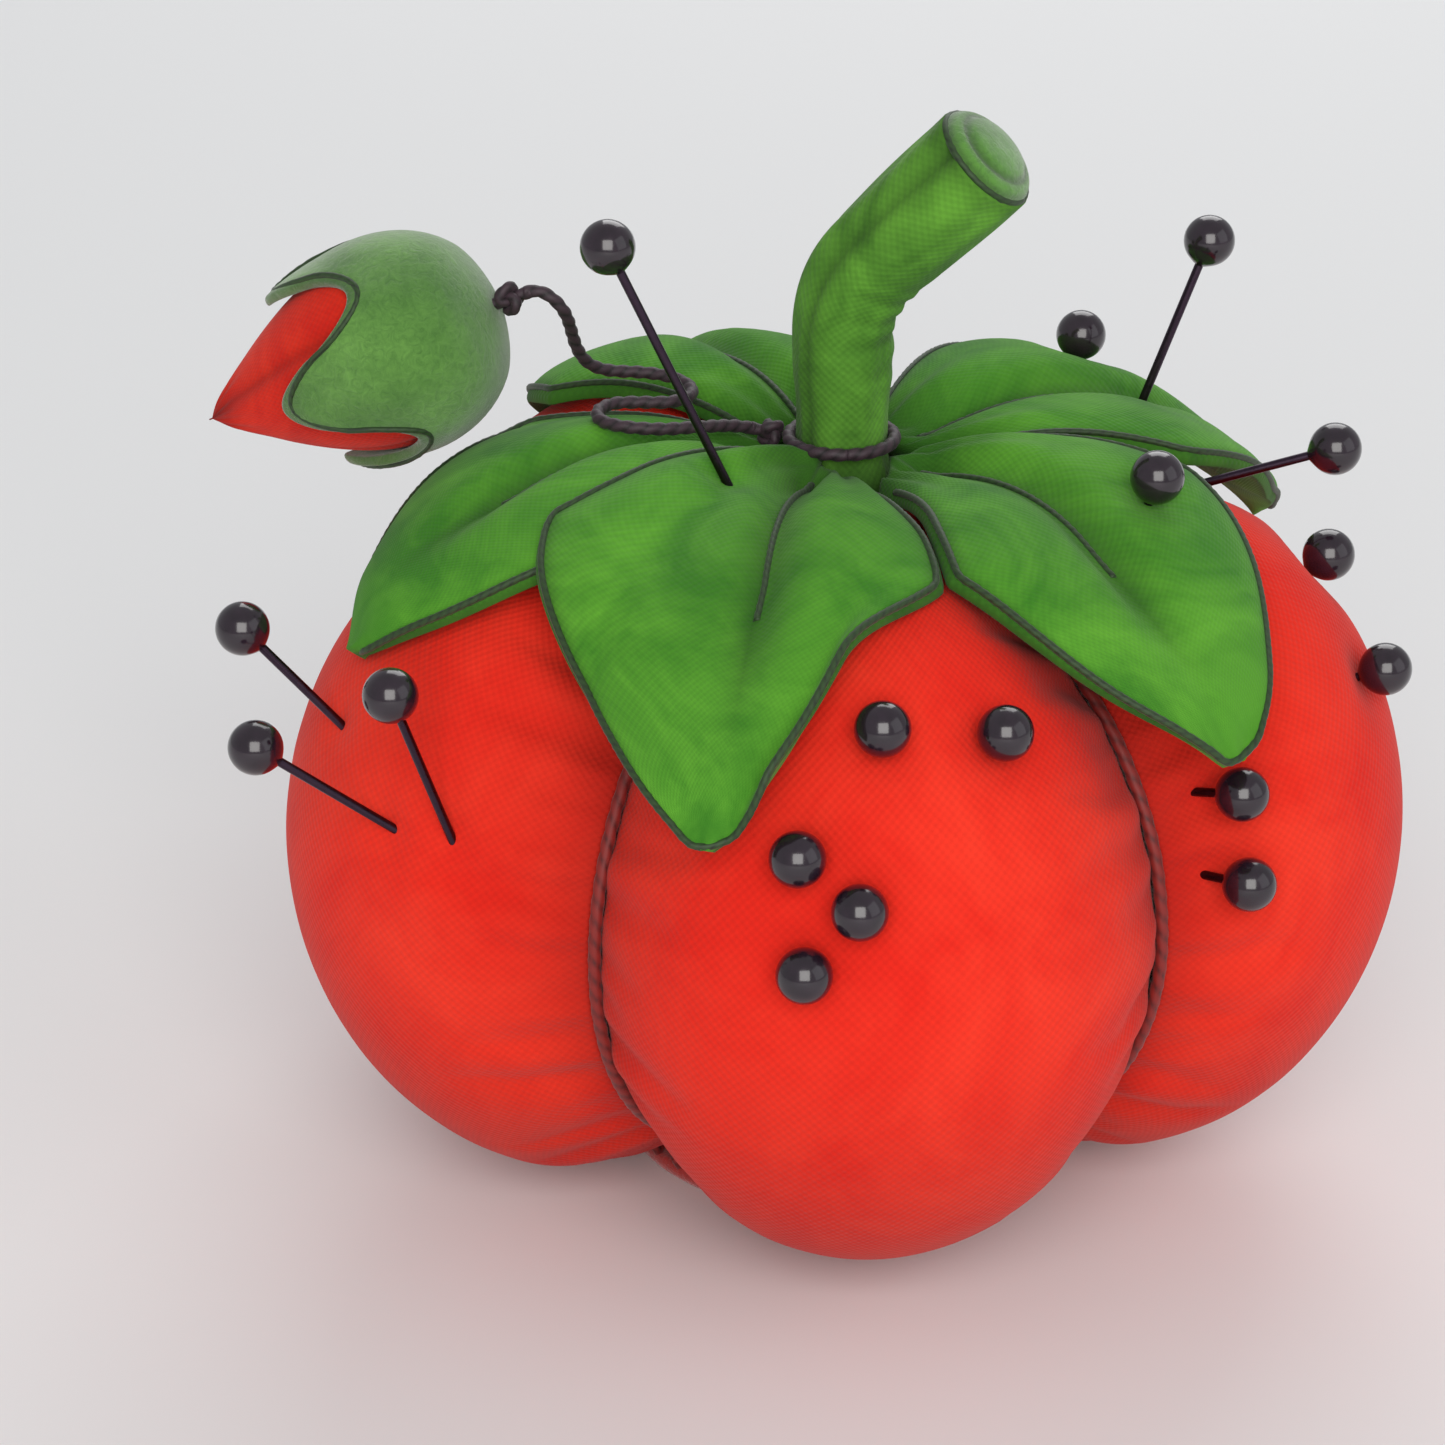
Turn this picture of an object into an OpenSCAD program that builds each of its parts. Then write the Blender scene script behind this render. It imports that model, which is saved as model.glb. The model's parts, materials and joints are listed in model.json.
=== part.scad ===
// Tomato pin cushion: five stuffed lobes, five leaves, a stuffed stem, a strawberry emery on a cord
// and seventeen ball-headed pins that slide in their own channels.
// The front lobe faces -Y, +Z is up, and the origin is the middle of the underside.
// Bearings are degrees around the stem, from the front lobe and towards +X.

/* [Cushion] */
// Radius at the crest of a lobe
cushion_r = 38; // [34:0.5:44]
// Height of the lobes above the base disc
cushion_h = 48.8; // [44:0.2:54]
// Radius of a crease, as a share of the crest radius beside it
crease_share = 0.82; // [0.74:0.01:0.92]
// Share of its height that a crease loses to the pull of the thread
crease_pull = 0.22; // [0.1:0.01:0.3]
// Thickness of the cotton cover
cover_t = 0.8; // [0.5:0.1:1.2]
// Radius of the thread laid in the creases
thread_r = 0.4; // [0.3:0.05:0.5]
// Radius of the felt disc under the cushion
disc_r = 15; // [12:0.5:17]
// Thickness of the felt disc
disc_t = 1.2; // [0.8:0.1:2]

/* [Leaves and stem] */
// Half width of a leaf at its widest
leaf_half_w = 13.2; // [10:0.2:14]
// Thickness of a padded leaf along its middle
leaf_t = 2; // [1.4:0.1:2.4]
// Radius of the stem along its upright stretch
stem_r = 3; // [2.6:0.1:3.1]
// Radius of the stem at its cut end
stem_end_r = 3.5; // [3:0.1:4]
// Length of the sloping stretch of the stem
stem_slope_l = 9.5; // [6:0.5:11]

/* [Strawberry emery] */
// Length of the strawberry from cap to tip
berry_l = 21.5; // [18:0.5:24]
// Radius of the strawberry's red cloth at its widest
berry_r = 6.8; // [5.5:0.1:7]
// Thickness of the green felt cap
cap_t = 0.7; // [0.5:0.1:0.9]
// Downward tilt of the strawberry as it lies on the shoulder
berry_tilt = 25; // [20:1:30]
// Radius of the cord
cord_r = 0.45; // [0.35:0.05:0.5]

/* [Pins] */
// Radius of a pin's shank
shank_r = 0.3; // [0.25:0.01:0.35]
// Length of a pin from its point to the middle of its head
pin_l = 27; // [24:0.5:28]
// Radius of a pin's ball head
head_r = 1.75; // [1.5:0.05:2]

/* [Hidden] */
lobes = 5;
lobe_step = 360 / lobes;
half_step = lobe_step / 2;
half_h = cushion_h / 2;
mid_z = disc_t + half_h;
// The crest profile is an ellipse's arc round a ring of radius ring_r, which leaves a dimple on the axis
ring_r = 0.4 * cushion_r;
ring_w = cushion_r - ring_r;
axis_gap = 1;
top_psi = acos((axis_gap - ring_r) / ring_w);
// A lobe's plan is an arc about a point that stands off the axis
hub_q = (1 - crease_share^2) / (2 - 2 * crease_share * cos(half_step));
hub_rho = 1 - hub_q;
gore_cols = 10;
gore_rows = 24;
floor_rows = 3;
pull_reach = 0.3 * cushion_r;

// Leaves: [bearing, how far it sways from root to tip, profile angle of its tip]
leaves = [[-80, 14, 35], [-22, 8, 28.5], [45, -12, 30], [120, -4, 29], [198, 5, 29]];
leaf_groove = 0.15;
leaf_gap = 0.25;
leaf_root_lift = 1;
leaf_root_reach = 8;
leaf_root_psi = 116;
leaf_tip_half_w = 0.4;
leaf_rim_share = 0.4;
leaf_fan = 0.5;
leaf_root_gap = 0.6;
leaf_belly = 0.7;
leaf_taper = 0.9;
leaf_rows = 12;
leaf_cols = 6;

// Stem: upright, then a bend towards +X that is turned a little to the front, then a sloping stretch
// that widens to its cut end
stem_turn = -25;
stem_foot_z = 47.6;
stem_upright = 10.5;
stem_bend_r = 9;
stem_bend = 45;
stem_disc_t = 0.6;
wire_r = 0.6;
tie_r = 0.5;

// Strawberry: bearing, and its cap end as [distance from the stem's axis, height]
berry_bearing = -104;
berry_end = [24, 58.8];
berry_fullness = 0.62;
berry_bluntness = 0.88;
berry_cloth_t = 0.6;
berry_steps = 14;
cap_sepals = 4;
cap_mid = 0.46;
cap_swing = 0.17;
cap_turn = 90;
cap_start = 0.0005;
cap_rows = 8;
cap_cols = 40;
cap_crowding = 1.6;
cap_fit = 0.16;
berry_gap = 0.05;

// Cord: its loop round the stem, the hitch on the loop, and its route as [distance out, distance aside, height]
loop_z = 51.2;
loop_fit = 0.08;
loop_r = stem_r + loop_fit + cord_r;
hitch_r = 0.75;
hitch_l = 1.2;
hitch_out = loop_r + cord_r + hitch_r;
cord_route = [
    [5.9, 0.5, 51.6], [7.2, 1.6, 52.1], [8.9, 3.5, 52.6], [11.0, 5.1, 52.9], [13.2, 5.7, 53.1],
    [15.2, 4.9, 53.1], [15.9, 3.1, 53.1], [15.2, 1.4, 53.1], [13.5, 0.6, 53.0], [11.6, 0.0, 52.9],
    [10.5, -1.6, 52.8], [10.8, -3.6, 52.8], [12.5, -4.8, 53.0], [14.6, -5.0, 53.1], [16.5, -4.4, 53.3],
    [17.7, -3.4, 54.05], [18.3, -2.5, 55.35], [18.5, -1.7, 56.8], [18.6, -0.8, 58.15], [19.0, -0.2, 59.25],
    [20.1, 0, 60.2], [21.3, 0, 60.07]
];
knot_r = 1;
cord_sides = 8;

// Pins: [lobe, leaf or -1, bearing, profile angle, bearing of the lean, its elevation, length showing]
pins = [
    [4, -1, -57.5, 17.5, -80, 38, 8.5],
    [4, -1, -70, 27, -85, 50, 7.5],
    [4, -1, -51, 19.5, -50, 68, 9],
    [0, 1, -40, 95, -84, 65, 16],
    [2, 3, 132, 68, 125, 72, 0],
    [2, 3, 114, 68, 92, 70, 10],
    [1, -1, 86, 68, 74, 20, 7],
    [1, 2, 55, 73, 60, 74, 0],
    [1, -1, 82, 44, 80, 42, 0],
    [1, -1, 71, 29.5, 70, 24, 0],
    [1, -1, 43, 27, 46, 14, 0],
    [1, -1, 42, 11.5, 43, 8, 0],
    [0, -1, -10, 29, -8, 20, 0],
    [0, -1, -1, 46, -14, 48, 0],
    [0, -1, -9, 13, -8, 10, 0],
    [0, -1, -4, 22, -6, 16, 0],
    [0, -1, 12.5, 44.5, 2, 45, 0]
];
channel_fit = 0.06;
channel_end = 0.4;
head_gap = 0.15;
point_l = 1.6;
head_bore = 1;

$fn = 48;

// ---- The lobed surface ----

function smooth(x) = let (t = min(max(x, 0), 1)) t * t * (3 - 2 * t);

// Radius of the lobed plan at a bearing, as a share of the crest radius
function scallop(bearing) =
    let (a = bearing - lobe_step * round(bearing / lobe_step))
    hub_q * cos(a) + sqrt(hub_rho^2 - (hub_q * sin(a))^2);

// A point of the crest profile pushed out by grow, as [radius, height above the middle]
function crest(psi, grow) = [ring_r + (ring_w + grow) * cos(psi), (half_h + grow) * sin(psi)];

// A profile point carried round to a bearing, where groove is how deep the creases cut
function lobed(bearing, profile, groove = 1) =
    let (
        cut = groove * (1 - scallop(bearing)),
        r = profile[0] * (1 - cut),
        pull = crease_pull * cut / (1 - crease_share) * smooth(profile[0] / pull_reach)
    )
    [r * sin(bearing), -r * cos(bearing), mid_z + profile[1] * (1 - pull)];

function skin(bearing, psi, grow = 0, groove = 1) = lobed(bearing, crest(psi, grow), groove);

function unit(v) = v / norm(v);

// Outward unit normal of the skin
function skin_normal(bearing, psi, grow = 0, groove = 1) =
    let (e = 0.2)
    unit(cross(skin(bearing + e, psi, grow, groove) - skin(bearing - e, psi, grow, groove),
               skin(bearing, psi + e, grow, groove) - skin(bearing, psi - e, grow, groove)));

// Crest profile from the axis across the flat underside, round the outside and into the dimple
function full_profile(inset) = concat(
    [for (i = [0:floor_rows - 1]) [axis_gap + (ring_r - axis_gap) * i / floor_rows, inset - half_h]],
    [for (i = [0:gore_rows]) crest(-90 + (top_psi + 90) * i / gore_rows, -inset)]
);

// ---- Closed solids from grids of points ----

// Solid between two grids of the same size, closed all round its edge, or wrapped round in one ring
module slab(outer, inner, wrap = false) {
    rows = len(outer);
    cols = len(outer[0]);
    span = wrap ? cols : cols - 1;
    shift = rows * cols;
    function at(i, j, side) = side * shift + i * cols + j % cols;
    points = concat([for (row = outer) for (p = row) p], [for (row = inner) for (p = row) p]);
    skins = [for (i = [0:rows - 2]) for (j = [0:span - 1]) for (f = [
        [at(i, j, 0), at(i + 1, j, 0), at(i, j + 1, 0)],
        [at(i + 1, j, 0), at(i + 1, j + 1, 0), at(i, j + 1, 0)],
        [at(i, j, 1), at(i, j + 1, 1), at(i + 1, j, 1)],
        [at(i + 1, j, 1), at(i, j + 1, 1), at(i + 1, j + 1, 1)]
    ]) f];
    ends = [for (j = [0:span - 1]) for (f = [
        [at(0, j, 0), at(0, j + 1, 0), at(0, j, 1)],
        [at(0, j + 1, 0), at(0, j + 1, 1), at(0, j, 1)],
        [at(rows - 1, j, 0), at(rows - 1, j, 1), at(rows - 1, j + 1, 0)],
        [at(rows - 1, j + 1, 0), at(rows - 1, j, 1), at(rows - 1, j + 1, 1)]
    ]) f];
    flanks = wrap ? [] : [for (i = [0:rows - 2]) for (f = [
        [at(i, 0, 0), at(i, 0, 1), at(i + 1, 0, 0)],
        [at(i + 1, 0, 0), at(i, 0, 1), at(i + 1, 0, 1)],
        [at(i, cols - 1, 0), at(i + 1, cols - 1, 0), at(i, cols - 1, 1)],
        [at(i + 1, cols - 1, 0), at(i + 1, cols - 1, 1), at(i, cols - 1, 1)]
    ]) f];
    polyhedron(points = points, faces = concat(skins, ends, flanks));
}

// Round tube swept along a path
module tube(path, radius, sides) {
    last = len(path) - 1;
    rings = [for (i = [0:last])
        let (
            along = unit(path[min(i + 1, last)] - path[max(i - 1, 0)]),
            across = unit(cross(along, abs(along[2]) > 0.9 ? [1, 0, 0] : [0, 0, 1])),
            up = cross(across, along)
        )
        for (j = [0:sides - 1])
            path[i] + radius * (across * cos(j * 360 / sides) + up * sin(j * 360 / sides))];
    walls = [for (i = [0:last - 1]) for (j = [0:sides - 1])
        let (k = (j + 1) % sides, a = i * sides, b = a + sides)
        for (f = [[a + j, a + k, b + j], [b + j, a + k, b + k]]) f];
    caps = [for (j = [1:sides - 2]) for (f = [
        [0, j + 1, j],
        [last * sides, last * sides + j, last * sides + j + 1]
    ]) f];
    polyhedron(points = rings, faces = concat(walls, caps));
}

// ---- Pins ----

function lean(pin) = [sin(pin[4]) * cos(pin[5]), -cos(pin[4]) * cos(pin[5]), sin(pin[5])];
function pin_grow(pin) = pin[1] < 0 ? 0 : leaf_gap + leaf_t;
function pin_groove(pin) = pin[1] < 0 ? 1 : leaf_groove;
function entry(pin) = skin(pin[2], pin[3], pin_grow(pin), pin_groove(pin));

// Distance from the entry to the middle of a head that just clears the cloth
function seat(pin) =
    (head_r + head_gap) / (skin_normal(pin[2], pin[3], pin_grow(pin), pin_groove(pin)) * lean(pin));

// Turns +Z along a pin's lean
module leaning(pin) {
    translate(entry(pin)) rotate([0, 90 - pin[5], pin[4] - 90]) children();
}

// Bores for the pins that pass through one lobe, or through one leaf
module channels(bored) {
    for (pin = bored) {
        reach = pin_l - seat(pin) + channel_end;
        leaning(pin) translate([0, 0, -reach]) cylinder(r = shank_r + channel_fit, h = reach + 8, $fn = 24);
    }
}

module pin_shank(pin) {
    color("#2a1c2c")
    leaning(pin) translate([0, 0, pin[6] + seat(pin) - pin_l]) {
        cylinder(r1 = 0.05, r2 = shank_r, h = point_l, $fn = 24);
        translate([0, 0, point_l]) cylinder(r = shank_r, h = pin_l - point_l - head_r + head_bore, $fn = 24);
    }
}

module pin_head(pin) {
    color("#27192a")
    leaning(pin) translate([0, 0, pin[6] + seat(pin)]) difference() {
        sphere(r = head_r, $fn = 32);
        translate([0, 0, -head_r - 1]) cylinder(r = shank_r, h = head_bore + 1, $fn = 24);
    }
}

// ---- Cushion ----

// One lobe's cotton cover, from the axis underneath to the axis in the dimple
module gore(n) {
    bearings = [for (j = [0:gore_cols]) (n - 1) * lobe_step - half_step + j * lobe_step / gore_cols];
    outer = [for (p = full_profile(0)) [for (a = bearings) lobed(a, p)]];
    inner = [for (p = full_profile(cover_t)) [for (a = bearings) lobed(a, p)]];
    color("#e33423") difference() {
        slab(outer, inner);
        channels([for (pin = pins) if (pin[0] == n - 1) pin]);
    }
}

// The filling, with a hole on its axis for the centre tie
module stuffing() {
    bearings = [for (j = [0:lobes * gore_cols - 1]) j * lobe_step / gore_cols - half_step];
    profile = full_profile(cover_t + 0.05);
    outer = [for (p = profile) [for (a = bearings) lobed(a, p)]];
    hole = [for (i = [0:len(profile) - 1]) [for (a = bearings)
        let (z = outer[0][0][2] + (outer[len(profile) - 1][0][2] - outer[0][0][2]) * i / (len(profile) - 1))
        [(tie_r + 0.1) * sin(a), -(tie_r + 0.1) * cos(a), z]]];
    color("#efe9dc") difference() {
        slab(outer, hole, wrap = true);
        channels(pins);
    }
}

// Thread pulled tight in every crease, from the felt disc up and over into the dimple
module crease_thread() {
    stand_off = thread_r * 1.9;
    color("#7d1207")
    for (n = [0:lobes - 1])
        tube([for (psi = [-78:9:111]) skin(n * lobe_step + half_step, psi) +
              stand_off * unit([sin(n * lobe_step + half_step) * cos(psi),
                                -cos(n * lobe_step + half_step) * cos(psi), sin(psi)])],
             thread_r, 6);
}

module centre_tie() {
    color("#7d1207")
    translate([0, 0, disc_t]) cylinder(r = tie_r, h = stem_foot_z - disc_t);
}

module base_disc() {
    color("#b51f12") cylinder(r = disc_r, h = disc_t, $fn = 96);
}

// ---- Leaves ----

// Half width of a leaf from root (0) to tip (1), narrowed at the root so that neighbours stay apart
function leaf_half(u, r) =
    min(leaf_half_w * pow(sin(180 * pow(u, leaf_belly)), leaf_taper), leaf_fan * r - leaf_root_gap) * (u < 1 ? 1 : 0)
    + leaf_tip_half_w;

// One padded leaf, from its pinched root beside the stem, over the crest and down the side
module leaf(n) {
    function bearing_at(u) = leaves[n - 1][0] + leaves[n - 1][1] * (smooth(u / 0.9) - 0.5);
    function psi_at(u) = leaf_root_psi + (leaves[n - 1][2] - leaf_root_psi) * u;
    function lift(psi) = leaf_gap + leaf_root_lift * (1 - smooth(crest(psi, 0)[0] / leaf_root_reach));
    function grid(top) = [for (i = [leaf_rows:-1:0])
        let (u = i / leaf_rows, psi = psi_at(u), r = crest(psi, 0)[0], w = leaf_half(u, r) / r * 180 / PI)
        [for (j = [0:leaf_cols])
            let (
                v = 2 * j / leaf_cols - 1,
                body = leaf_t * (leaf_rim_share + (1 - leaf_rim_share) * sqrt(1 - v * v))
            )
            skin(bearing_at(u) + v * w, psi, lift(psi) + (top ? body : 0), leaf_groove)]];
    color("#4c8a28") difference() {
        slab(grid(true), grid(false));
        channels([for (pin = pins) if (pin[1] == n - 1) pin]);
    }
}

// ---- Stem ----

// Rod of radius r along the stem, which widens to r_end over its sloping stretch
module stem_run(r, r_end, slope_l) {
    rotate([0, 0, stem_turn]) {
        translate([0, 0, stem_foot_z]) cylinder(r = r, h = stem_upright);
        translate([stem_bend_r, 0, stem_foot_z + stem_upright]) rotate([90, 0, 180])
            rotate_extrude(angle = stem_bend) translate([stem_bend_r, 0]) circle(r = r);
        at_stem_slope() cylinder(r1 = r, r2 = r_end, h = slope_l);
    }
}

// Places its children at the start of the sloping stretch of a stem that bends towards +X
module at_stem_slope() {
    translate([stem_bend_r * (1 - cos(stem_bend)), 0, stem_foot_z + stem_upright + stem_bend_r * sin(stem_bend)])
        rotate([0, stem_bend, 0]) children();
}

module stem_cover() {
    color("#4f8527") difference() {
        stem_run(stem_r, stem_end_r, stem_slope_l);
        stem_run(wire_r, wire_r, stem_slope_l + 1);
    }
}

module stem_wire() {
    color("#9a9a9a") stem_run(wire_r, wire_r, stem_slope_l);
}

module stem_end() {
    color("#3f6f20")
    rotate([0, 0, stem_turn]) at_stem_slope() translate([0, 0, stem_slope_l]) cylinder(r = stem_end_r, h = stem_disc_t);
}

// ---- Strawberry emery ----

function berry_half(u) = berry_r * pow(sin(180 * pow(u, berry_fullness)), berry_bluntness);

// Places its children on the strawberry's axis, with +Z from the cap end to the tip
module at_berry() {
    rotate([0, 0, berry_bearing - 90]) translate([berry_end[0], 0, berry_end[1]])
        rotate([0, 90 + berry_tilt, 0]) children();
}

// Outline of the red cloth, shrunk by inset
function berry_outline(inset) = [for (i = [0:berry_steps])
    let (u = pow(i / berry_steps, 1.5))
    [max(berry_half(u) - inset, 0), inset + (berry_l - 2 * inset) * u]];

module emery_cover() {
    color("#c31901")
    at_berry() rotate_extrude() difference() {
        polygon(berry_outline(0));
        polygon(berry_outline(berry_cloth_t));
    }
}

module emery_fill() {
    color("#5c5852")
    at_berry() rotate_extrude() polygon(berry_outline(berry_cloth_t + berry_gap));
}

// Felt cap in broad sepals that lies on the cloth
module emery_cap() {
    function edge(a) = cap_mid + cap_swing * cos(cap_sepals * (a - cap_turn));
    function ring(i, a, grow) =
        let (
            u = cap_start + (edge(a) - cap_start) * pow(i / cap_rows, cap_crowding),
            r = berry_half(u) + grow * smooth(u / 0.08)
        )
        [r * cos(a), r * sin(a), berry_l * u - grow * (1 - smooth(3 * u))];
    bearings = [for (j = [0:cap_cols - 1]) j * 360 / cap_cols];
    color("#508032")
    at_berry() slab(
        [for (i = [0:cap_rows]) [for (a = bearings) ring(i, a, cap_t + cap_fit)]],
        [for (i = [0:cap_rows]) [for (a = bearings) ring(i, a, cap_fit)]],
        wrap = true
    );
}

// Bead of knotted cord on the cap's end
module emery_knot() {
    color("#3c2a33")
    at_berry() translate([0, 0, -cap_t - cap_fit - knot_r]) sphere(r = knot_r, $fn = 32);
}

// ---- Cord ----

// A route point turned to the strawberry's bearing
function routed(p) = [
    p[0] * sin(berry_bearing) + p[1] * cos(berry_bearing),
    -p[0] * cos(berry_bearing) + p[1] * sin(berry_bearing),
    p[2]
];

module emery_cord() {
    color("#3c2a33") tube([for (p = cord_route) routed(p)], cord_r, cord_sides);
}

// Ring of cord that turns freely round the stem
module cord_loop() {
    color("#3c2a33")
    translate([0, 0, loop_z]) rotate_extrude() translate([loop_r, 0]) circle(r = cord_r, $fn = 24);
}

// Hitch that ties the strawberry's cord to the loop, wound round the axis that the strawberry lifts on
module cord_hitch() {
    color("#3c2a33") translate(routed([hitch_out, 0, loop_z])) rotate([0, 0, berry_bearing]) rotate([0, 90, 0])
        cylinder(r = hitch_r, h = hitch_l, center = true);
}

for (n = [1:lobes]) gore(n);
stuffing();
crease_thread();
centre_tie();
base_disc();
for (n = [1:5]) leaf(n);
stem_cover();
stem_wire();
stem_end();
cord_loop();
cord_hitch();
emery_cover();
emery_fill();
emery_cap();
emery_cord();
emery_knot();
for (n = [1:17]) {
    label = str("pin_", n < 10 ? "0" : "", n);
    pin_shank(pins[n - 1]);
    pin_head(pins[n - 1]);
}
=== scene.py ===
"""A stuffed tomato pin cushion with a strawberry emery on a cord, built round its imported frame.

Lengths are in metres. Bearings are angles round the stem from the front lobe (-Y) towards +X.
"""
import json

import bpy
import numpy as np
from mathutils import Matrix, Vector


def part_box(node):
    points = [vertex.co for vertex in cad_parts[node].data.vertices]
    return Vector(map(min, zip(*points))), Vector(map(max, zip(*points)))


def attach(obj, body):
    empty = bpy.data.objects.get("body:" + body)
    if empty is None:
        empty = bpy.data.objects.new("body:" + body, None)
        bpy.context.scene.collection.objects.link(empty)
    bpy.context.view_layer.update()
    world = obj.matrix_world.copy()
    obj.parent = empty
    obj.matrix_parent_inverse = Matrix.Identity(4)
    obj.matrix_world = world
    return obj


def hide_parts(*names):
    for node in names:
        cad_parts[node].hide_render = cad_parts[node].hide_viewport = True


MM = 0.001
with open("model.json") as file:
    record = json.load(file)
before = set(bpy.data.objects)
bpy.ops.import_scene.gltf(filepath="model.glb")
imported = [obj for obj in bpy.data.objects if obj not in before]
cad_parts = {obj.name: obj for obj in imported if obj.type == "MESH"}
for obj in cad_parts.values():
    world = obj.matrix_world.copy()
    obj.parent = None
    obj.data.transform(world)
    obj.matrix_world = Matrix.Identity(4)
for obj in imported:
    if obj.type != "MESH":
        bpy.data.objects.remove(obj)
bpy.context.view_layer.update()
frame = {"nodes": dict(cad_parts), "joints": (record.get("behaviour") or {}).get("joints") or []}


# ---- Studio -------------------------------------------------------------------------------------
# A pale floor under the cushion, one large soft light from high in front, a weaker one from the
# right, and a camera a little above the cushion's shoulder.

VIEW_AZIMUTH = np.radians(-4.5)
VIEW_ELEVATION = np.radians(24.5)
VIEW_DISTANCE = 0.28
VIEW_WIDTH = 0.0997
FLOOR_SIZE = 3.0

base_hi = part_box("base_disc")[1]
gore_lo, gore_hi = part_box("gore_1")
crest_r = -gore_lo[1]
half_h = (gore_hi[2] - base_hi[2]) / 2
mid_z = base_hi[2] + half_h

view_right = Vector((np.cos(VIEW_AZIMUTH), np.sin(VIEW_AZIMUTH), 0))
view_back = Vector((
    np.sin(VIEW_AZIMUTH) * np.cos(VIEW_ELEVATION),
    -np.cos(VIEW_AZIMUTH) * np.cos(VIEW_ELEVATION),
    np.sin(VIEW_ELEVATION),
))
view_up = view_back.cross(view_right)
target = Vector((0, 0, mid_z)) + view_up * 4.3 * MM - view_right * 7.9 * MM
camera = bpy.data.objects.new("camera", bpy.data.cameras.new("camera"))
camera.data.sensor_width = 36
camera.data.lens = 36 * VIEW_DISTANCE / VIEW_WIDTH
camera.data.clip_start = 0.01
camera.location = target + view_back * VIEW_DISTANCE
camera.rotation_euler = view_back.to_track_quat("Z", "Y").to_euler()
bpy.context.collection.objects.link(camera)
bpy.context.scene.camera = camera


def area_light(name, place, size, watts, tint):
    """A square soft light aimed at the middle of the cushion."""
    lamp = bpy.data.objects.new(name, bpy.data.lights.new(name, "AREA"))
    lamp.data.size = size
    lamp.data.energy = watts
    lamp.data.color = tint
    lamp.location = place
    lamp.rotation_euler = (Vector(place) - Vector((0, 0, mid_z))).to_track_quat("Z", "Y").to_euler()
    bpy.context.collection.objects.link(lamp)


area_light("key_light", (-0.05, -0.74, 0.42), 0.6, 5.2, (1.0, 0.98, 0.95))
area_light("fill_light", (0.6, -0.35, 0.35), 0.6, 0.7, (0.95, 0.97, 1.0))
area_light("back_light", (0.15, 0.6, 0.5), 0.5, 2.0, (1.0, 1.0, 1.0))
world = bpy.data.worlds.new("studio")
world.use_nodes = True
world.node_tree.nodes["Background"].inputs["Color"].default_value = (0.9, 0.92, 0.95, 1)
world.node_tree.nodes["Background"].inputs["Strength"].default_value = 0.46
bpy.context.scene.world = world
bpy.context.scene.view_settings.view_transform = "Standard"


def new_material(name):
    """A material with one Principled shader: (material, node tree, shader)."""
    material = bpy.data.materials.new(name)
    material.use_nodes = True
    return material, material.node_tree, material.node_tree.nodes["Principled BSDF"]


def add_node(tree, kind, links=(), **settings):
    """A new node with its settings, where links are (socket of the new node, value or other socket)."""
    node = tree.nodes.new("ShaderNode" + kind)
    for key, value in settings.items():
        setattr(node, key, value)
    for socket, source in links:
        if isinstance(source, bpy.types.NodeSocket):
            tree.links.new(source, node.inputs[socket])
        else:
            node.inputs[socket].default_value = source
    return node


def floor_material():
    """Pale matte board with a faint paper grain."""
    material, tree, shader = new_material("floor_board")
    grain = add_node(tree, "TexNoise", [("Scale", 900.0), ("Detail", 4.0)])
    bump = add_node(tree, "Bump", [
        ("Height", grain.outputs["Fac"]), ("Strength", 0.05), ("Distance", 0.0002),
    ])
    shader.inputs["Base Color"].default_value = (0.80, 0.80, 0.80, 1)
    shader.inputs["Roughness"].default_value = 0.9
    tree.links.new(bump.outputs["Normal"], shader.inputs["Normal"])
    return material


floor_mesh = bpy.data.meshes.new("floor")
half = FLOOR_SIZE / 2
floor_corners = [(-half, -half, 0), (half, -half, 0), (half, half, 0), (-half, half, 0)]
floor_mesh.from_pydata(floor_corners, [], [(0, 1, 2, 3)])
floor = bpy.data.objects.new("floor", floor_mesh)
floor.data.materials.append(floor_material())
bpy.context.collection.objects.link(floor)


# ---- Cushion cover ------------------------------------------------------------------------------
# Five gores of hand-dyed red cotton, sewn into a ball and pulled in by thread along every seam, so
# that each gore swells into a lobe and puckers where the thread bites.

LOBES = 5
LOBE_STEP = 2 * np.pi / LOBES
CREASE_SHARE = 0.82
CREASE_PULL = 0.22
PULL_REACH = 0.3 * crest_r
RING_R = 0.4 * crest_r
RING_W = crest_r - RING_R
AXIS_GAP = 1 * MM
COVER_THICK = 0.8 * MM
PUCKER_DEPTH = 0.28 * MM
START_INSET = 0.6 * MM
SWELL_LIMIT = 1.8 * MM
COVER_COLS = 44
COVER_ROWS = 104
FLOOR_ROWS = 8
hub_q = (1 - CREASE_SHARE ** 2) / (2 - 2 * CREASE_SHARE * np.cos(LOBE_STEP / 2))
hub_rho = 1 - hub_q
TOP_PSI = np.arccos((AXIS_GAP - RING_R) / RING_W)


def smooth(x):
    """0 below 0, 1 above 1, and an S-curve between them."""
    t = np.clip(x, 0, 1)
    return t * t * (3 - 2 * t)


def scallop(bearing):
    """Radius of the lobed plan as a share of the crest radius: an arc off the axis for each lobe."""
    a = bearing - LOBE_STEP * np.round(bearing / LOBE_STEP)
    return hub_q * np.cos(a) + np.sqrt(hub_rho ** 2 - (hub_q * np.sin(a)) ** 2)


def crest(psi, grow=0.0):
    """Crest profile pushed out by grow, an ellipse's arc round a ring: (radius, height from mid_z)."""
    return RING_R + (RING_W + grow) * np.cos(psi), (half_h + grow) * np.sin(psi)


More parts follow.
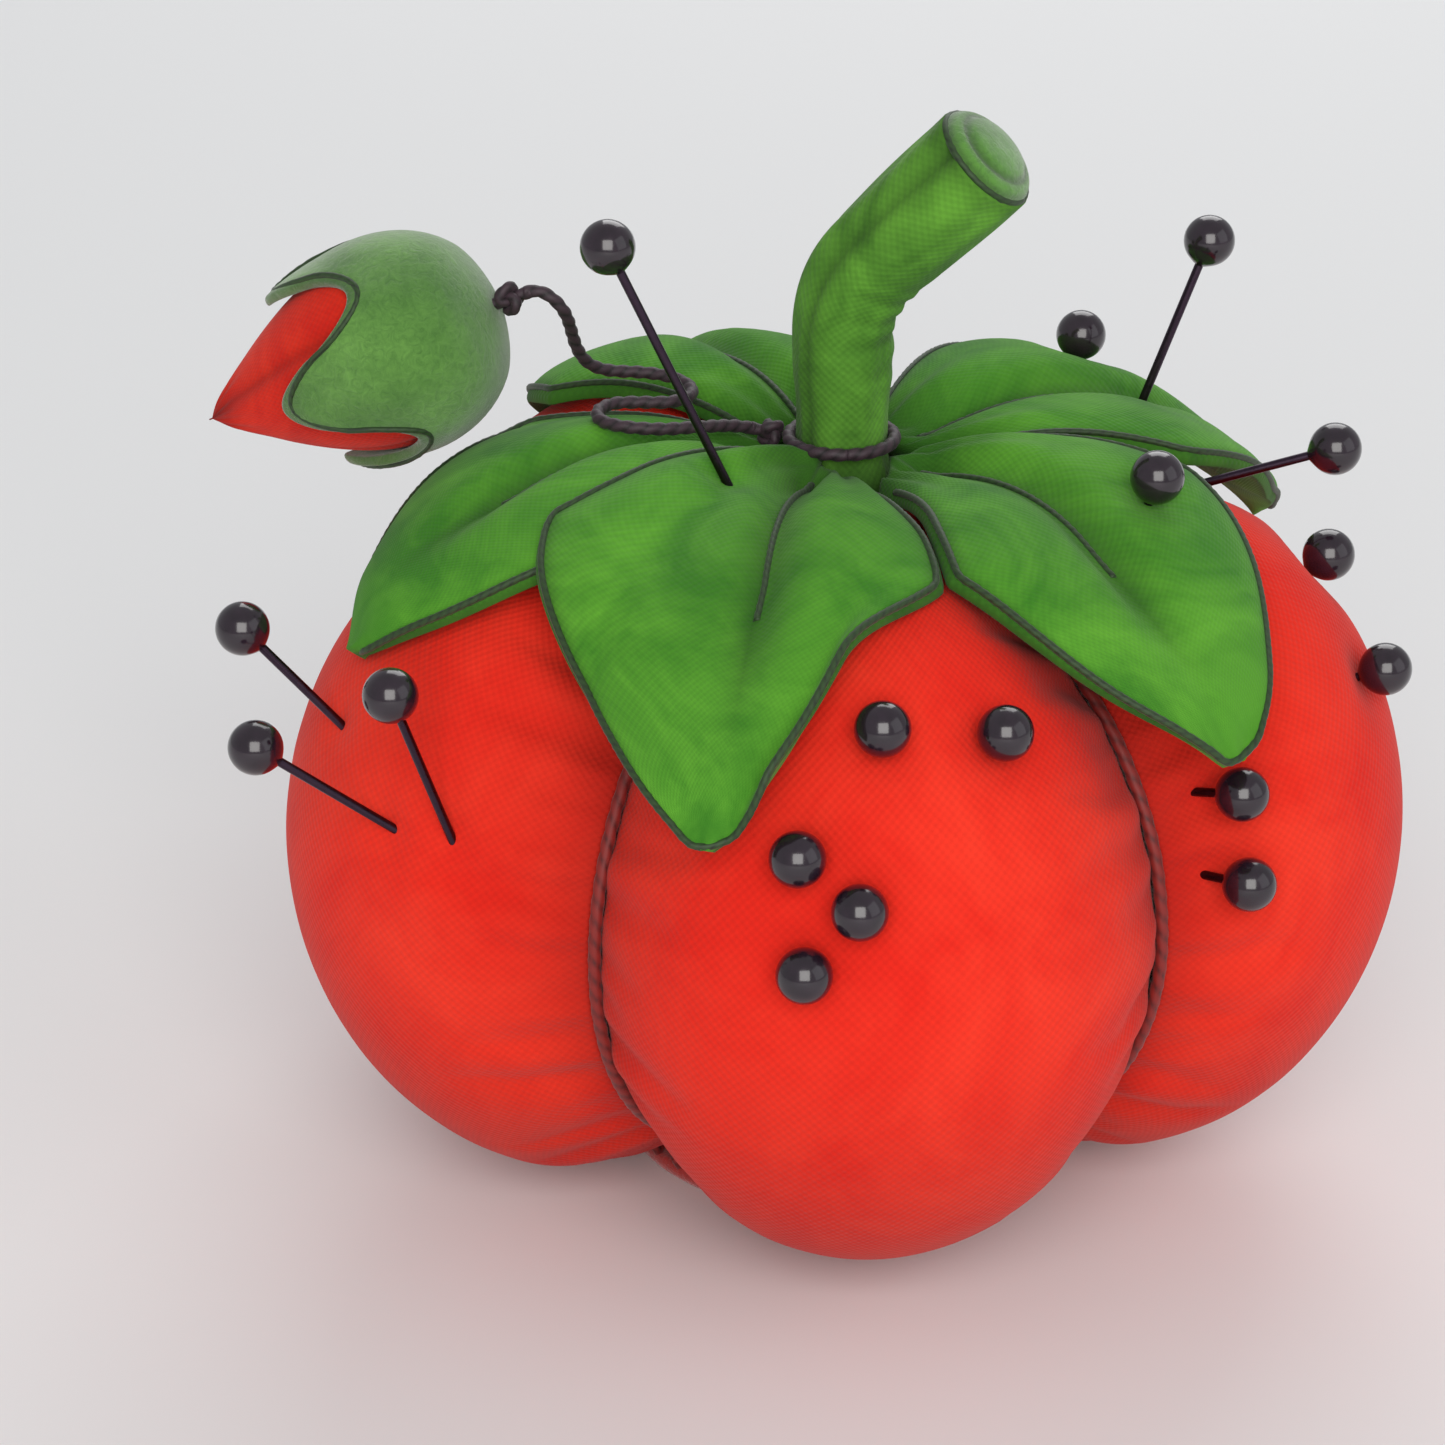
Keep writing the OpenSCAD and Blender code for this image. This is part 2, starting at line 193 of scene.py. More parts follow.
def lobed(bearing, radius, height, groove=1.0):
    """A profile point carried round to a bearing, where creases cut in by groove and lose height."""
    cut = groove * (1 - scallop(bearing))
    r = radius * (1 - cut)
    pull = CREASE_PULL * cut / (1 - CREASE_SHARE) * smooth(radius / PULL_REACH)
    return np.stack([r * np.sin(bearing), -r * np.cos(bearing), mid_z + height * (1 - pull)], axis=-1)


def skin(bearing, psi, grow=0.0, groove=1.0):
    """A point of the cushion's skin, or of a layer laid over it."""
    return lobed(bearing, *crest(psi, grow), groove)


def grid_normals(points):
    """Outward unit normals of a grid of points: row direction crossed with column direction."""
    down = np.gradient(points, axis=0)
    along = np.gradient(points, axis=1)
    normal = np.cross(down, along)
    return normal / np.maximum(np.linalg.norm(normal, axis=-1, keepdims=True), 1e-12)


def grid_piece(name, points, uv, ring=False, shade=None, caps=(False, False)):
    """A piece from a grid of points (rows, columns, 3), closed round its columns if ring.

    uv is a grid of pattern coordinates in metres, shade a grid from 0 to 1 of painted shade that darkens
    the dye, and caps says whether the first and last rows are closed by a fan.
    """
    rows, cols = points.shape[:2]
    span = cols if ring else cols - 1
    i, j = np.meshgrid(np.arange(rows - 1), np.arange(span), indexing="ij")
    k = (j + 1) % cols
    quads = np.stack([i * cols + j, (i + 1) * cols + j, (i + 1) * cols + k, i * cols + k], axis=-1)
    faces = quads.reshape(-1, 4).tolist()
    corner_uv = np.stack([uv[i, j], uv[i + 1, j], uv[i + 1, j + 1], uv[i, j + 1]], axis=2).reshape(-1, 2)
    for end, row in zip(caps, (0, rows - 1)):
        if end:
            loop = list(range(row * cols, row * cols + cols))
            faces.append(loop if row == 0 else loop[::-1])
            corner_uv = np.vstack([corner_uv, np.repeat(uv[row, :1], cols, axis=0)])
    mesh = bpy.data.meshes.new(name)
    mesh.from_pydata(points.reshape(-1, 3).tolist(), [], faces)
    layer = mesh.uv_layers.new(name="cloth")
    layer.data.foreach_set("uv", corner_uv.ravel())
    # The shade attribute carries painted shade for the materials to darken their colour with.
    tint = mesh.attributes.new("shade", "FLOAT", "POINT")
    tint.data.foreach_set("value", (np.zeros((rows, cols)) if shade is None else shade).ravel())
    mesh.polygons.foreach_set("use_smooth", np.ones(len(mesh.polygons), dtype=bool))
    piece = bpy.data.objects.new(name, mesh)
    bpy.context.collection.objects.link(piece)
    return piece


def no_pattern(points):
    """Empty pattern coordinates for a ring grid, whose first column comes again at its end."""
    return np.zeros((points.shape[0], points.shape[1] + 1, 2))


def arc_lengths(points):
    """Distance along the rows of a grid, measured down its middle column."""
    steps = np.linalg.norm(np.diff(points[:, points.shape[1] // 2], axis=0), axis=-1)
    return np.concatenate([[0], np.cumsum(steps)])


def cloth_material(name, light, mid, dark, thread, mottle, weave_depth, rough=0.88, sheen=0.06):
    """Hand-dyed cotton: blotches of dye between light and mid, painted shade of the dark colour in its
    folds and creases, and a plain weave.

    thread is the width of a yarn and mottle the size of a blotch, both in metres.
    """
    material, tree, shader = new_material(name)
    place = add_node(tree, "TexCoord")
    pattern = add_node(tree, "UVMap", uv_map="cloth")
    blotch = add_node(tree, "TexNoise", [
        ("Vector", place.outputs["Object"]), ("Scale", 1 / mottle), ("Detail", 4.0), ("Roughness", 0.62),
        ("Distortion", 0.7),
    ])
    dye = add_node(tree, "ValToRGB", [("Fac", blotch.outputs["Fac"])])
    dye.color_ramp.elements[0].position = 0.36
    dye.color_ramp.elements[0].color = (*mid, 1)
    dye.color_ramp.elements[1].position = 0.66
    dye.color_ramp.elements[1].color = (*light, 1)
    # Painted shade: the shade attribute mixes the dark colour into the dye where shade falls, in folds and
    # creases.
    fold = add_node(tree, "Attribute", attribute_name="shade")
    painted_fold_shade = add_node(tree, "MixRGB", [
        ("Fac", fold.outputs["Fac"]), ("Color1", dye.outputs["Color"]), ("Color2", (*dark, 1)),
    ])
    split = add_node(tree, "SeparateXYZ", [("Vector", pattern.outputs["UV"])])
    yarns = []
    for axis in ("X", "Y"):
        angle = add_node(tree, "Math", [
            (0, split.outputs[axis]), (1, np.pi / thread),
        ], operation="MULTIPLY")
        yarns.append(add_node(tree, "Math", [(0, angle.outputs[0])], operation="SINE").outputs[0])
    weave = add_node(tree, "Math", [(0, yarns[0]), (1, yarns[1])], operation="MULTIPLY")
    fuzz = add_node(tree, "TexNoise", [
        ("Vector", place.outputs["Object"]), ("Scale", 0.5 / thread), ("Detail", 3.0), ("Roughness", 0.7),
    ])
    height = add_node(tree, "Math", [
        (0, fuzz.outputs["Fac"]), (1, 1.6), (2, weave.outputs[0]),
    ], operation="MULTIPLY_ADD")
    # Partly painted shade: the colour darkens a little in the dips of the weave between yarns, and is
    # flecked at random by the fuzz.
    weave_shade_and_specks = add_node(tree, "MapRange", [
        ("Value", height.outputs[0]), ("From Min", -0.4), ("From Max", 2.0),
        ("To Min", 0.90), ("To Max", 1.06),
    ])
    tinted = add_node(tree, "MixRGB", [
        ("Fac", 1.0), ("Color1", painted_fold_shade.outputs["Color"]), ("Color2", weave_shade_and_specks.outputs["Result"]),
    ], blend_type="MULTIPLY")
    bump = add_node(tree, "Bump", [
        ("Height", height.outputs[0]), ("Strength", 0.36), ("Distance", weave_depth),
    ])
    tree.links.new(tinted.outputs["Color"], shader.inputs["Base Color"])
    tree.links.new(bump.outputs["Normal"], shader.inputs["Normal"])
    shader.inputs["Roughness"].default_value = rough
    shader.inputs["Sheen Weight"].default_value = sheen
    shader.inputs["Sheen Roughness"].default_value = 0.5
    shader.inputs["Specular IOR Level"].default_value = 0.25
    return material


def linear(red, green, blue):
    """An 8-bit display colour as linear light."""
    c = np.array([red, green, blue]) / 255
    return tuple(np.where(c <= 0.04045, c / 12.92, ((c + 0.055) / 1.055) ** 2.4).tolist())


def puckers(crease_gap, along, seed):
    """Ripples that run out from a thread-drawn seam: short waves along it, dying away from it."""
    rng = np.random.default_rng(seed)
    waves = 0
    for length, share in ((4.3 * MM, 0.5), (6.1 * MM, 0.8), (9.7 * MM, 0.6)):
        turns = 2 * np.pi * along / length
        waves = waves + share * np.sin(turns + rng.uniform(0, 6.28) + 90 * crease_gap)
    return waves * np.exp(-crease_gap / (4.5 * MM)) * smooth(crease_gap / (1.2 * MM))


def blown_cloth(points, hold, pressure, growth, frames, scale=10.0):
    """Cloth simulation of a ring grid under inner pressure, without gravity: the grid at rest.

    hold is a grid from 0, free, to 1, pinned, and growth is how much cloth is let in. It is worked at a
    larger scale, because the solver is made for full-size garments.
    """
    piece = grid_piece("cloth_run", points * scale, no_pattern(points), ring=True)
    group = piece.vertex_groups.new(name="hold")
    flat_hold = np.round(hold.ravel(), 2)
    for level in np.unique(flat_hold):
        if level > 0:
            group.add(np.flatnonzero(flat_hold == level).tolist(), float(level), "REPLACE")
    cloth = piece.modifiers.new("cloth", "CLOTH")
    cloth.settings.quality = 5
    cloth.settings.mass = 0.25
    cloth.settings.tension_stiffness = 12
    cloth.settings.compression_stiffness = 12
    cloth.settings.shear_stiffness = 4
    cloth.settings.bending_stiffness = 0.25
    cloth.settings.use_pressure = True
    cloth.settings.uniform_pressure_force = pressure
    cloth.settings.shrink_min = -growth
    cloth.settings.vertex_group_mass = "hold"
    cloth.settings.effector_weights.gravity = 0
    cloth.collision_settings.use_collision = False
    cloth.point_cache.frame_start = 1
    cloth.point_cache.frame_end = frames
    for step in range(1, frames + 1):
        bpy.context.scene.frame_set(step)
    settled = piece.evaluated_get(bpy.context.evaluated_depsgraph_get())
    out = np.empty(points.size)
    settled.data.vertices.foreach_get("co", out)
    bpy.data.objects.remove(piece)
    bpy.context.scene.frame_set(1)
    return out.reshape(points.shape) / scale


under = np.linspace(AXIS_GAP, RING_R, FLOOR_ROWS, endpoint=False)
side = np.linspace(-np.pi / 2, TOP_PSI, COVER_ROWS)
side_r, side_h = crest(side)
profile_r = np.concatenate([under, side_r])[::-1, None]
profile_h = np.concatenate([np.full(FLOOR_ROWS, -half_h), side_h])[::-1, None]
under_psi = np.linspace(-2.2, -np.pi / 2, FLOOR_ROWS, endpoint=False)
profile_psi = np.concatenate([under_psi, side])[::-1, None]
bearings = (np.arange(LOBES * COVER_COLS) / COVER_COLS - 0.5)[None, :] * LOBE_STEP
cover = lobed(bearings, profile_r, profile_h)
cover_out = grid_normals(cover)
from_crease = np.abs(bearings - LOBE_STEP * (np.floor(bearings / LOBE_STEP) + 0.5))
crease_gap = from_crease * profile_r * CREASE_SHARE
cover_down = arc_lengths(cover)[:, None]
step_now = np.floor(bearings / LOBE_STEP + 1e-6).astype(int)
down_now = cover_down + np.zeros_like(bearings)
ripple = np.zeros(cover.shape[:2])
for n in range(-1, LOBES + 1):
    for flank in (0, 1):
        here = (step_now == n) & ((bearings / LOBE_STEP - n > 0.5) == bool(flank))
        ripple += np.where(here, puckers(crease_gap, down_now, 10 * n + flank + 40), 0)
ripple *= smooth((profile_r - 3 * MM) / (10 * MM))
start = cover + cover_out * (PUCKER_DEPTH * ripple - START_INSET)[..., None]
sewn = np.exp(-(crease_gap / (1.0 * MM)) ** 2)
gathered = 1 - smooth((profile_r - 4 * MM) / (4 * MM))
hold = np.clip(sewn + gathered, 0, 1)
blown = blown_cloth(start, hold, pressure=6.0, growth=0.05, frames=24)
shift = blown - start
reach = np.linalg.norm(shift, axis=-1, keepdims=True)
shift *= np.minimum(1, SWELL_LIMIT / np.maximum(reach, 1e-9))
cover_now = start + shift


def pin_lines():
    """(middle of the ball, direction out along the shank) for every pin, from its joint and its head."""
    lines = []
    for joint in frame["joints"]:
        if joint["name"].startswith("pin_"):
            lo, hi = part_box(joint["child"] + "_head")
            lines.append((np.array([(a + b) / 2 for a, b in zip(lo, hi)]), np.array(joint["axis"])))
    return lines


def dimpled(points, normals):
    """Presses cloth in where pins pierce it: widely under a seated ball, a little at a bare shank."""
    pressed = points.copy()
    for ball, out in pin_lines():
        offset = points - ball
        along = offset @ out
        aside = np.linalg.norm(offset - along[..., None] * out, axis=-1)
        facing = (normals @ out > 0.1) & (along < 1 * MM) & (along > -22 * MM)
        if not facing.any() or aside[facing].min() > 1.2 * MM:
            continue
        gap = -along[facing][aside[facing].argmin()]
        seated = gap < 4.2 * MM
        width = 2.3 * MM if seated else 1.5 * MM
        depth = 0.75 * MM if seated else 0.55 * MM
        push = depth * np.exp(-(aside / width) ** 2) * facing
        pressed -= normals * push[..., None]
    return pressed


cover_now = dimpled(cover_now, cover_out)
# Painted shade for the cover: darker in the creases, towards the bottom, and round the dimples at the
# axis, where shade falls.
crease_painted_shade = np.exp(-crease_gap / (3.2 * MM)) * 0.75
low_painted_shade = 0.5 * smooth((0.1 - np.sin(profile_psi)) / 1.1) + np.zeros_like(bearings)
dimple_painted_shade = 0.7 * (1 - smooth((profile_r - 2 * MM) / (9 * MM))) + np.zeros_like(bearings)
cover_shade = np.clip(np.maximum(np.maximum(crease_painted_shade, low_painted_shade), dimple_painted_shade), 0, 1)
red_cotton = cloth_material(
    "red_cotton", light=linear(234, 50, 28), mid=linear(220, 30, 12), dark=linear(150, 14, 4),
    thread=0.32 * MM, mottle=14 * MM, weave_depth=0.00006,
)
for n in range(LOBES):
    columns = np.arange(n * COVER_COLS, (n + 1) * COVER_COLS + 1) % (LOBES * COVER_COLS)
    across = (np.arange(COVER_COLS + 1) / COVER_COLS - 0.5) * LOBE_STEP * crest_r
    pattern = np.stack(np.broadcast_arrays(across[None, :], cover_down), axis=-1)
    gore = grid_piece(
        f"gore_cloth_{n + 1}", cover_now[:, columns], pattern, shade=cover_shade[:, columns],
    )
    gore.data.materials.append(red_cotton)
    wall = gore.modifiers.new("thickness", "SOLIDIFY")
    wall.thickness = COVER_THICK
    wall.offset = -1
    finer = gore.modifiers.new("finer", "SUBSURF")
    finer.levels = finer.render_levels = 1
    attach(gore, "cushion")
    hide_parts(f"gore_{n + 1}")


# ---- Stuffing -----------------------------------------------------------------------------------
# Teased wool packed hard inside the gores. Only a cut or a lost seam would show it.

STUFFING_INSET = 3.0 * MM

wool_material, wool_tree, wool_shader = new_material("wool")
wool_place = add_node(wool_tree, "TexCoord")
wool_curl = add_node(wool_tree, "TexNoise", [
    ("Vector", wool_place.outputs["Object"]), ("Scale", 700.0), ("Detail", 5.0), ("Distortion", 2.5),
])
wool_ramp = add_node(wool_tree, "ValToRGB", [("Fac", wool_curl.outputs["Fac"])])
wool_ramp.color_ramp.elements[0].color = (*linear(214, 203, 182), 1)
wool_ramp.color_ramp.elements[1].color = (*linear(246, 241, 230), 1)
wool_bump = add_node(wool_tree, "Bump", [("Height", wool_curl.outputs["Fac"]), ("Distance", 0.0006)])
wool_tree.links.new(wool_ramp.outputs["Color"], wool_shader.inputs["Base Color"])
wool_tree.links.new(wool_bump.outputs["Normal"], wool_shader.inputs["Normal"])
wool_shader.inputs["Roughness"].default_value = 1.0

few_rows = slice(None, None, 3)
few_cols = slice(None, None, 4)
wool_points = (cover - cover_out * STUFFING_INSET)[few_rows, few_cols]
for end in (0, -1):
    middle = wool_points[end].mean(axis=0)
    wool_points[end] = middle + (wool_points[end] - middle) * 0.02
wool = grid_piece("stuffing_wool", wool_points, no_pattern(wool_points), ring=True, caps=(True, True))
wool.data.materials.append(wool_material)
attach(wool, "cushion")
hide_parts("stuffing")


# ---- Crease thread and centre tie ---------------------------------------------------------------
# Strong maroon thread, laid in every crease and pulled tight through the middle of the cushion,
# where the centre tie takes it from the dimple to the underside.

THREAD_R = 0.45 * MM
THREAD_TWIST = 2.6 * MM


def resampled(path, count, eased=0):
    """A smooth curve through given points, as count points evenly spaced: Catmull-Rom by arc length.

    Its bends are then eased by so many rounds of averaging each point with its neighbours.
    """
    ends = np.vstack([2 * path[0] - path[1], path, 2 * path[-1] - path[-2]])
    t = np.linspace(0, len(path) - 1, 40 * len(path))
    k = np.minimum(t.astype(int), len(path) - 2)
    u = (t - k)[:, None]
    p0, p1, p2, p3 = ends[k], ends[k + 1], ends[k + 2], ends[k + 3]
    fine = 0.5 * (2 * p1 + (p2 - p0) * u + (2 * p0 - 5 * p1 + 4 * p2 - p3) * u ** 2
                  + (3 * p1 - p0 - 3 * p2 + p3) * u ** 3)
    run = np.concatenate([[0], np.cumsum(np.linalg.norm(np.diff(fine, axis=0), axis=1))])
    even = np.linspace(0, run[-1], count)
    curve = np.stack([np.interp(even, run, fine[:, axis]) for axis in range(3)], axis=-1)
    for _ in range(eased):
        curve[1:-1] = (curve[:-2] + 2 * curve[1:-1] + curve[2:]) / 4
    return curve


def path_axes(path):
    """Two unit vectors across a path at each point, carried along it without twisting."""
    along = np.gradient(path, axis=0)
    along /= np.linalg.norm(along, axis=1, keepdims=True)
    side_now = np.cross(along[0], [0.0, 0.0, 1.0] if abs(along[0][2]) < 0.9 else [1.0, 0.0, 0.0])
    sides = []
    for step in along:
        side_now = side_now - step * (side_now @ step)
        side_now = side_now / np.linalg.norm(side_now)
        sides.append(side_now)
    sides = np.array(sides)
    return sides, np.cross(sides, along)


def strand(path, radius, plies, twist, cols=12):
    """Twisted thread along a path: a round section with one bulge a ply, turned once every twist."""
    sides, ups = path_axes(path)
    run = np.concatenate([[0], np.cumsum(np.linalg.norm(np.diff(path, axis=0), axis=1))])[:, None]
    turn = np.arange(cols)[None, :] * 2 * np.pi / cols
    ply = np.abs(np.cos(plies / 2 * (turn - 2 * np.pi * run / twist)))
    size = radius * (0.8 + 0.2 * ply)
    return (path[:, None] + size[..., None] * (
        np.cos(turn)[..., None] * sides[:, None] + np.sin(turn)[..., None] * ups[:, None])), ply


def strand_piece(name, path, radius, plies, twist, cols=12):
    """A piece of twisted thread with closed ends, with painted shade between its plies."""
    points, ply = strand(path, radius, plies, twist, cols)
    run = arc_lengths(points)
    pattern = np.stack(np.broadcast_arrays(
        np.arange(cols + 1)[None, :] * 2 * np.pi * radius / cols, run[:, None]), axis=-1)
    # The shade attribute is painted shade, darkest in the grooves between plies.
    return grid_piece(name, points, pattern, ring=True, shade=1 - ply, caps=(True, True))


def joined(pieces, name):
    """Several pieces made one."""
    bpy.ops.object.select_all(action="DESELECT")
    for piece in pieces:
        piece.select_set(True)
    bpy.context.view_layer.objects.active = pieces[0]
    bpy.ops.object.join()
    pieces[0].name = name
    return pieces[0]


def thread_material(name, light, dark, sheen=0.1):
    """Twisted thread: fine hairs over plies, with painted shade of the dark colour where the plies meet.
    """
    material, tree, shader = new_material(name)
    place = add_node(tree, "TexCoord")
    hairs = add_node(tree, "TexNoise", [
        ("Vector", place.outputs["Object"]), ("Scale", 6000.0), ("Detail", 3.0),
    ])
    fold = add_node(tree, "Attribute", attribute_name="shade")
    # Painted shade between the plies, from the shade attribute.
    ply_painted_shade = add_node(tree, "Math", [(0, fold.outputs["Fac"]), (1, 1.6)], operation="POWER")
    colour = add_node(tree, "MixRGB", [
        ("Fac", ply_painted_shade.outputs[0]), ("Color1", (*light, 1)), ("Color2", (*dark, 1)),
    ])
    bump = add_node(tree, "Bump", [
        ("Height", hairs.outputs["Fac"]), ("Strength", 0.4), ("Distance", 0.00005),
    ])
    tree.links.new(colour.outputs["Color"], shader.inputs["Base Color"])
    tree.links.new(bump.outputs["Normal"], shader.inputs["Normal"])
    shader.inputs["Roughness"].default_value = 0.6
    shader.inputs["Sheen Weight"].default_value = sheen
    return material


maroon_thread = thread_material("maroon_thread", linear(128, 22, 14), linear(62, 6, 6))
strands = []
for n in range(LOBES):
    column = ((n + 1) * COVER_COLS) % (LOBES * COVER_COLS)
    bearing = (n + 0.5) * LOBE_STEP
    psi = profile_psi[:, 0]
    outward = np.stack([
        np.sin(bearing) * np.cos(psi), -np.cos(bearing) * np.cos(psi), np.sin(psi),
    ], axis=-1)
    line = cover_now[:, column] + outward * 0.9 * THREAD_R
    shown = (profile_r[:, 0] > 2.5 * MM) & (profile_psi[:, 0] > np.radians(-84))
    path = resampled(line[shown][::6], 150)
    strands.append(strand_piece(f"crease_strand_{n + 1}", path, THREAD_R, 2, THREAD_TWIST))
crease_thread = joined(strands, "crease_strands")
crease_thread.data.materials.append(maroon_thread)
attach(crease_thread, "cushion")
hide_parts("crease_thread")
frame["nodes"]["centre_tie"].data.materials.clear()
frame["nodes"]["centre_tie"].data.materials.append(maroon_thread)


# ---- Base disc ----------------------------------------------------------------------------------
# A disc of thick red felt whipped over the gathers underneath. The cushion stands on it.

DISC_EDGE = 0.45 * MM
STITCHES = 40
STITCH_R = 0.28 * MM
STITCH_SLANT = 0.05


def felt_material(name, light, dark):
    """Wool felt: matted fibres, matte, with flecks of a darker tone, and painted shade of a deeper tone
    where the shade attribute lays it.
    """
    material, tree, shader = new_material(name)
    place = add_node(tree, "TexCoord")
    matted = add_node(tree, "TexNoise", [
        ("Vector", place.outputs["Object"]), ("Scale", 1500.0), ("Detail", 6.0), ("Roughness", 0.75),
        ("Distortion", 1.5),
    ])
    cloud = add_node(tree, "TexNoise", [
        ("Vector", place.outputs["Object"]), ("Scale", 160.0), ("Detail", 3.0),
    ])
    both = add_node(tree, "Math", [
        (0, matted.outputs["Fac"]), (1, cloud.outputs["Fac"]),
    ], operation="MULTIPLY")
    ramp = add_node(tree, "ValToRGB", [("Fac", both.outputs[0])])
    ramp.color_ramp.elements[0].position = 0.12
    ramp.color_ramp.elements[0].color = (*dark, 1)
    ramp.color_ramp.elements[1].position = 0.36
    ramp.color_ramp.elements[1].color = (*light, 1)
    # Painted shade: the shade attribute mixes in a deep tone of the dark colour.
    fold = add_node(tree, "Attribute", attribute_name="shade")
    dim = add_node(tree, "MixRGB", [
        ("Fac", fold.outputs["Fac"]), ("Color1", ramp.outputs["Color"]),
        ("Color2", tuple(0.3 * c for c in dark) + (1,)),
    ])
    bump = add_node(tree, "Bump", [
        ("Height", matted.outputs["Fac"]), ("Strength", 0.6), ("Distance", 0.00015),
    ])
    tree.links.new(dim.outputs["Color"], shader.inputs["Base Color"])
    tree.links.new(bump.outputs["Normal"], shader.inputs["Normal"])
    shader.inputs["Roughness"].default_value = 0.95
    shader.inputs["Sheen Weight"].default_value = 0.5
    return material


def turned(profile, cols):
    """A profile of (radius, height) points turned round the Z axis, as a grid."""
    turn = np.arange(cols)[None, :] * 2 * np.pi / cols
    r, z = profile[:, :1], profile[:, 1:]
    return np.stack(np.broadcast_arrays(r * np.cos(turn), r * np.sin(turn), z), axis=-1)


disc_r = base_hi[0]
disc_t = base_hi[2]
round_off = np.linspace(-np.pi / 2, np.pi / 2, 12)
disc_side = np.stack([
    disc_r - DISC_EDGE + DISC_EDGE * np.cos(round_off), disc_t / 2 + disc_t / 2 * np.sin(round_off),
], axis=-1)
disc_top = np.stack([np.linspace(disc_r - DISC_EDGE, 0.2 * MM, 8)[1:], np.full(7, disc_t)], axis=-1)
disc_under = np.stack([np.linspace(0.2 * MM, disc_r - DISC_EDGE, 8)[:-1], np.zeros(7)], axis=-1)
disc_points = turned(np.vstack([disc_under, disc_side, disc_top])[::-1], 120)
disc = grid_piece("base_felt", disc_points, no_pattern(disc_points), ring=True, caps=(True, True))
disc.data.materials.append(felt_material("red_felt", linear(186, 34, 22), linear(138, 16, 10)))
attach(disc, "cushion")
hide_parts("base_disc")

stitch_r = disc_r + np.array([-1.8, -1.6, -0.6, 0.0, 0.4]) * MM
stitch_z = disc_t + np.array([0.0, 0.1, 0.25, 0.1, 0.9]) * MM
stitch_z[0] = disc_t * 0.5
whips = []
for n in range(STITCHES):
    a = n * 2 * np.pi / STITCHES + STITCH_SLANT * np.array([0, 0, 0.5, 1, 1])
    stitch = np.stack([stitch_r * np.cos(a), stitch_r * np.sin(a), stitch_z], axis=-1)
    whips.append(strand_piece(f"whip_{n}", resampled(stitch, 10), STITCH_R, 2, 1.6 * MM, cols=6))
whipping = joined(whips, "base_whipping")
whipping.data.materials.append(maroon_thread)
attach(whipping, "cushion")


# ---- Leaves -------------------------------------------------------------------------------------
# Five padded leaves of green cotton: two layers sewn round the rim over thin wadding, quilted along
# the vein, pleated into the stem's foot and left free at the tip. Dark thread whips the rims.

LEAVES = (
    dict(bearing=-79, sway=18, tip_psi=38, lean=0.10, curl=0.4, fold=0.0, over=0.0, seed=3),
    dict(bearing=-22, sway=8, tip_psi=28.5, lean=0.16, curl=1.0, fold=1.0, over=1.0, seed=5),
    dict(bearing=45, sway=-16, tip_psi=32.5, lean=-0.10, curl=1.0, fold=0.0, over=0.0, seed=8),
    dict(bearing=120, sway=-4, tip_psi=29, lean=0.0, curl=0.9, fold=0.0, over=0.0, seed=13),
    dict(bearing=198, sway=5, tip_psi=29, lean=-0.12, curl=0.7, fold=0.0, over=0.0, seed=21),
)
LEAF_HALF_W = 13.8 * MM
LEAF_THICK = 2.4 * MM
LEAF_FAN = 0.60
LEAF_OVERLAP = 1.6 * MM
LEAF_GROOVE = 0.2
LEAF_ROOT_PSI = 116
LEAF_ROWS = 90
LEAF_COLS = 84
SEAM_THREAD_R = 0.26 * MM
SEAM_TWIST = 1.5 * MM


def leaf_vein(leaf, u):
    """Where the vein runs across a leaf, which bows to the side that the leaf sways to."""
    return 0.10 * np.sin(2.6 * u + 0.4) * np.sign(leaf["sway"])


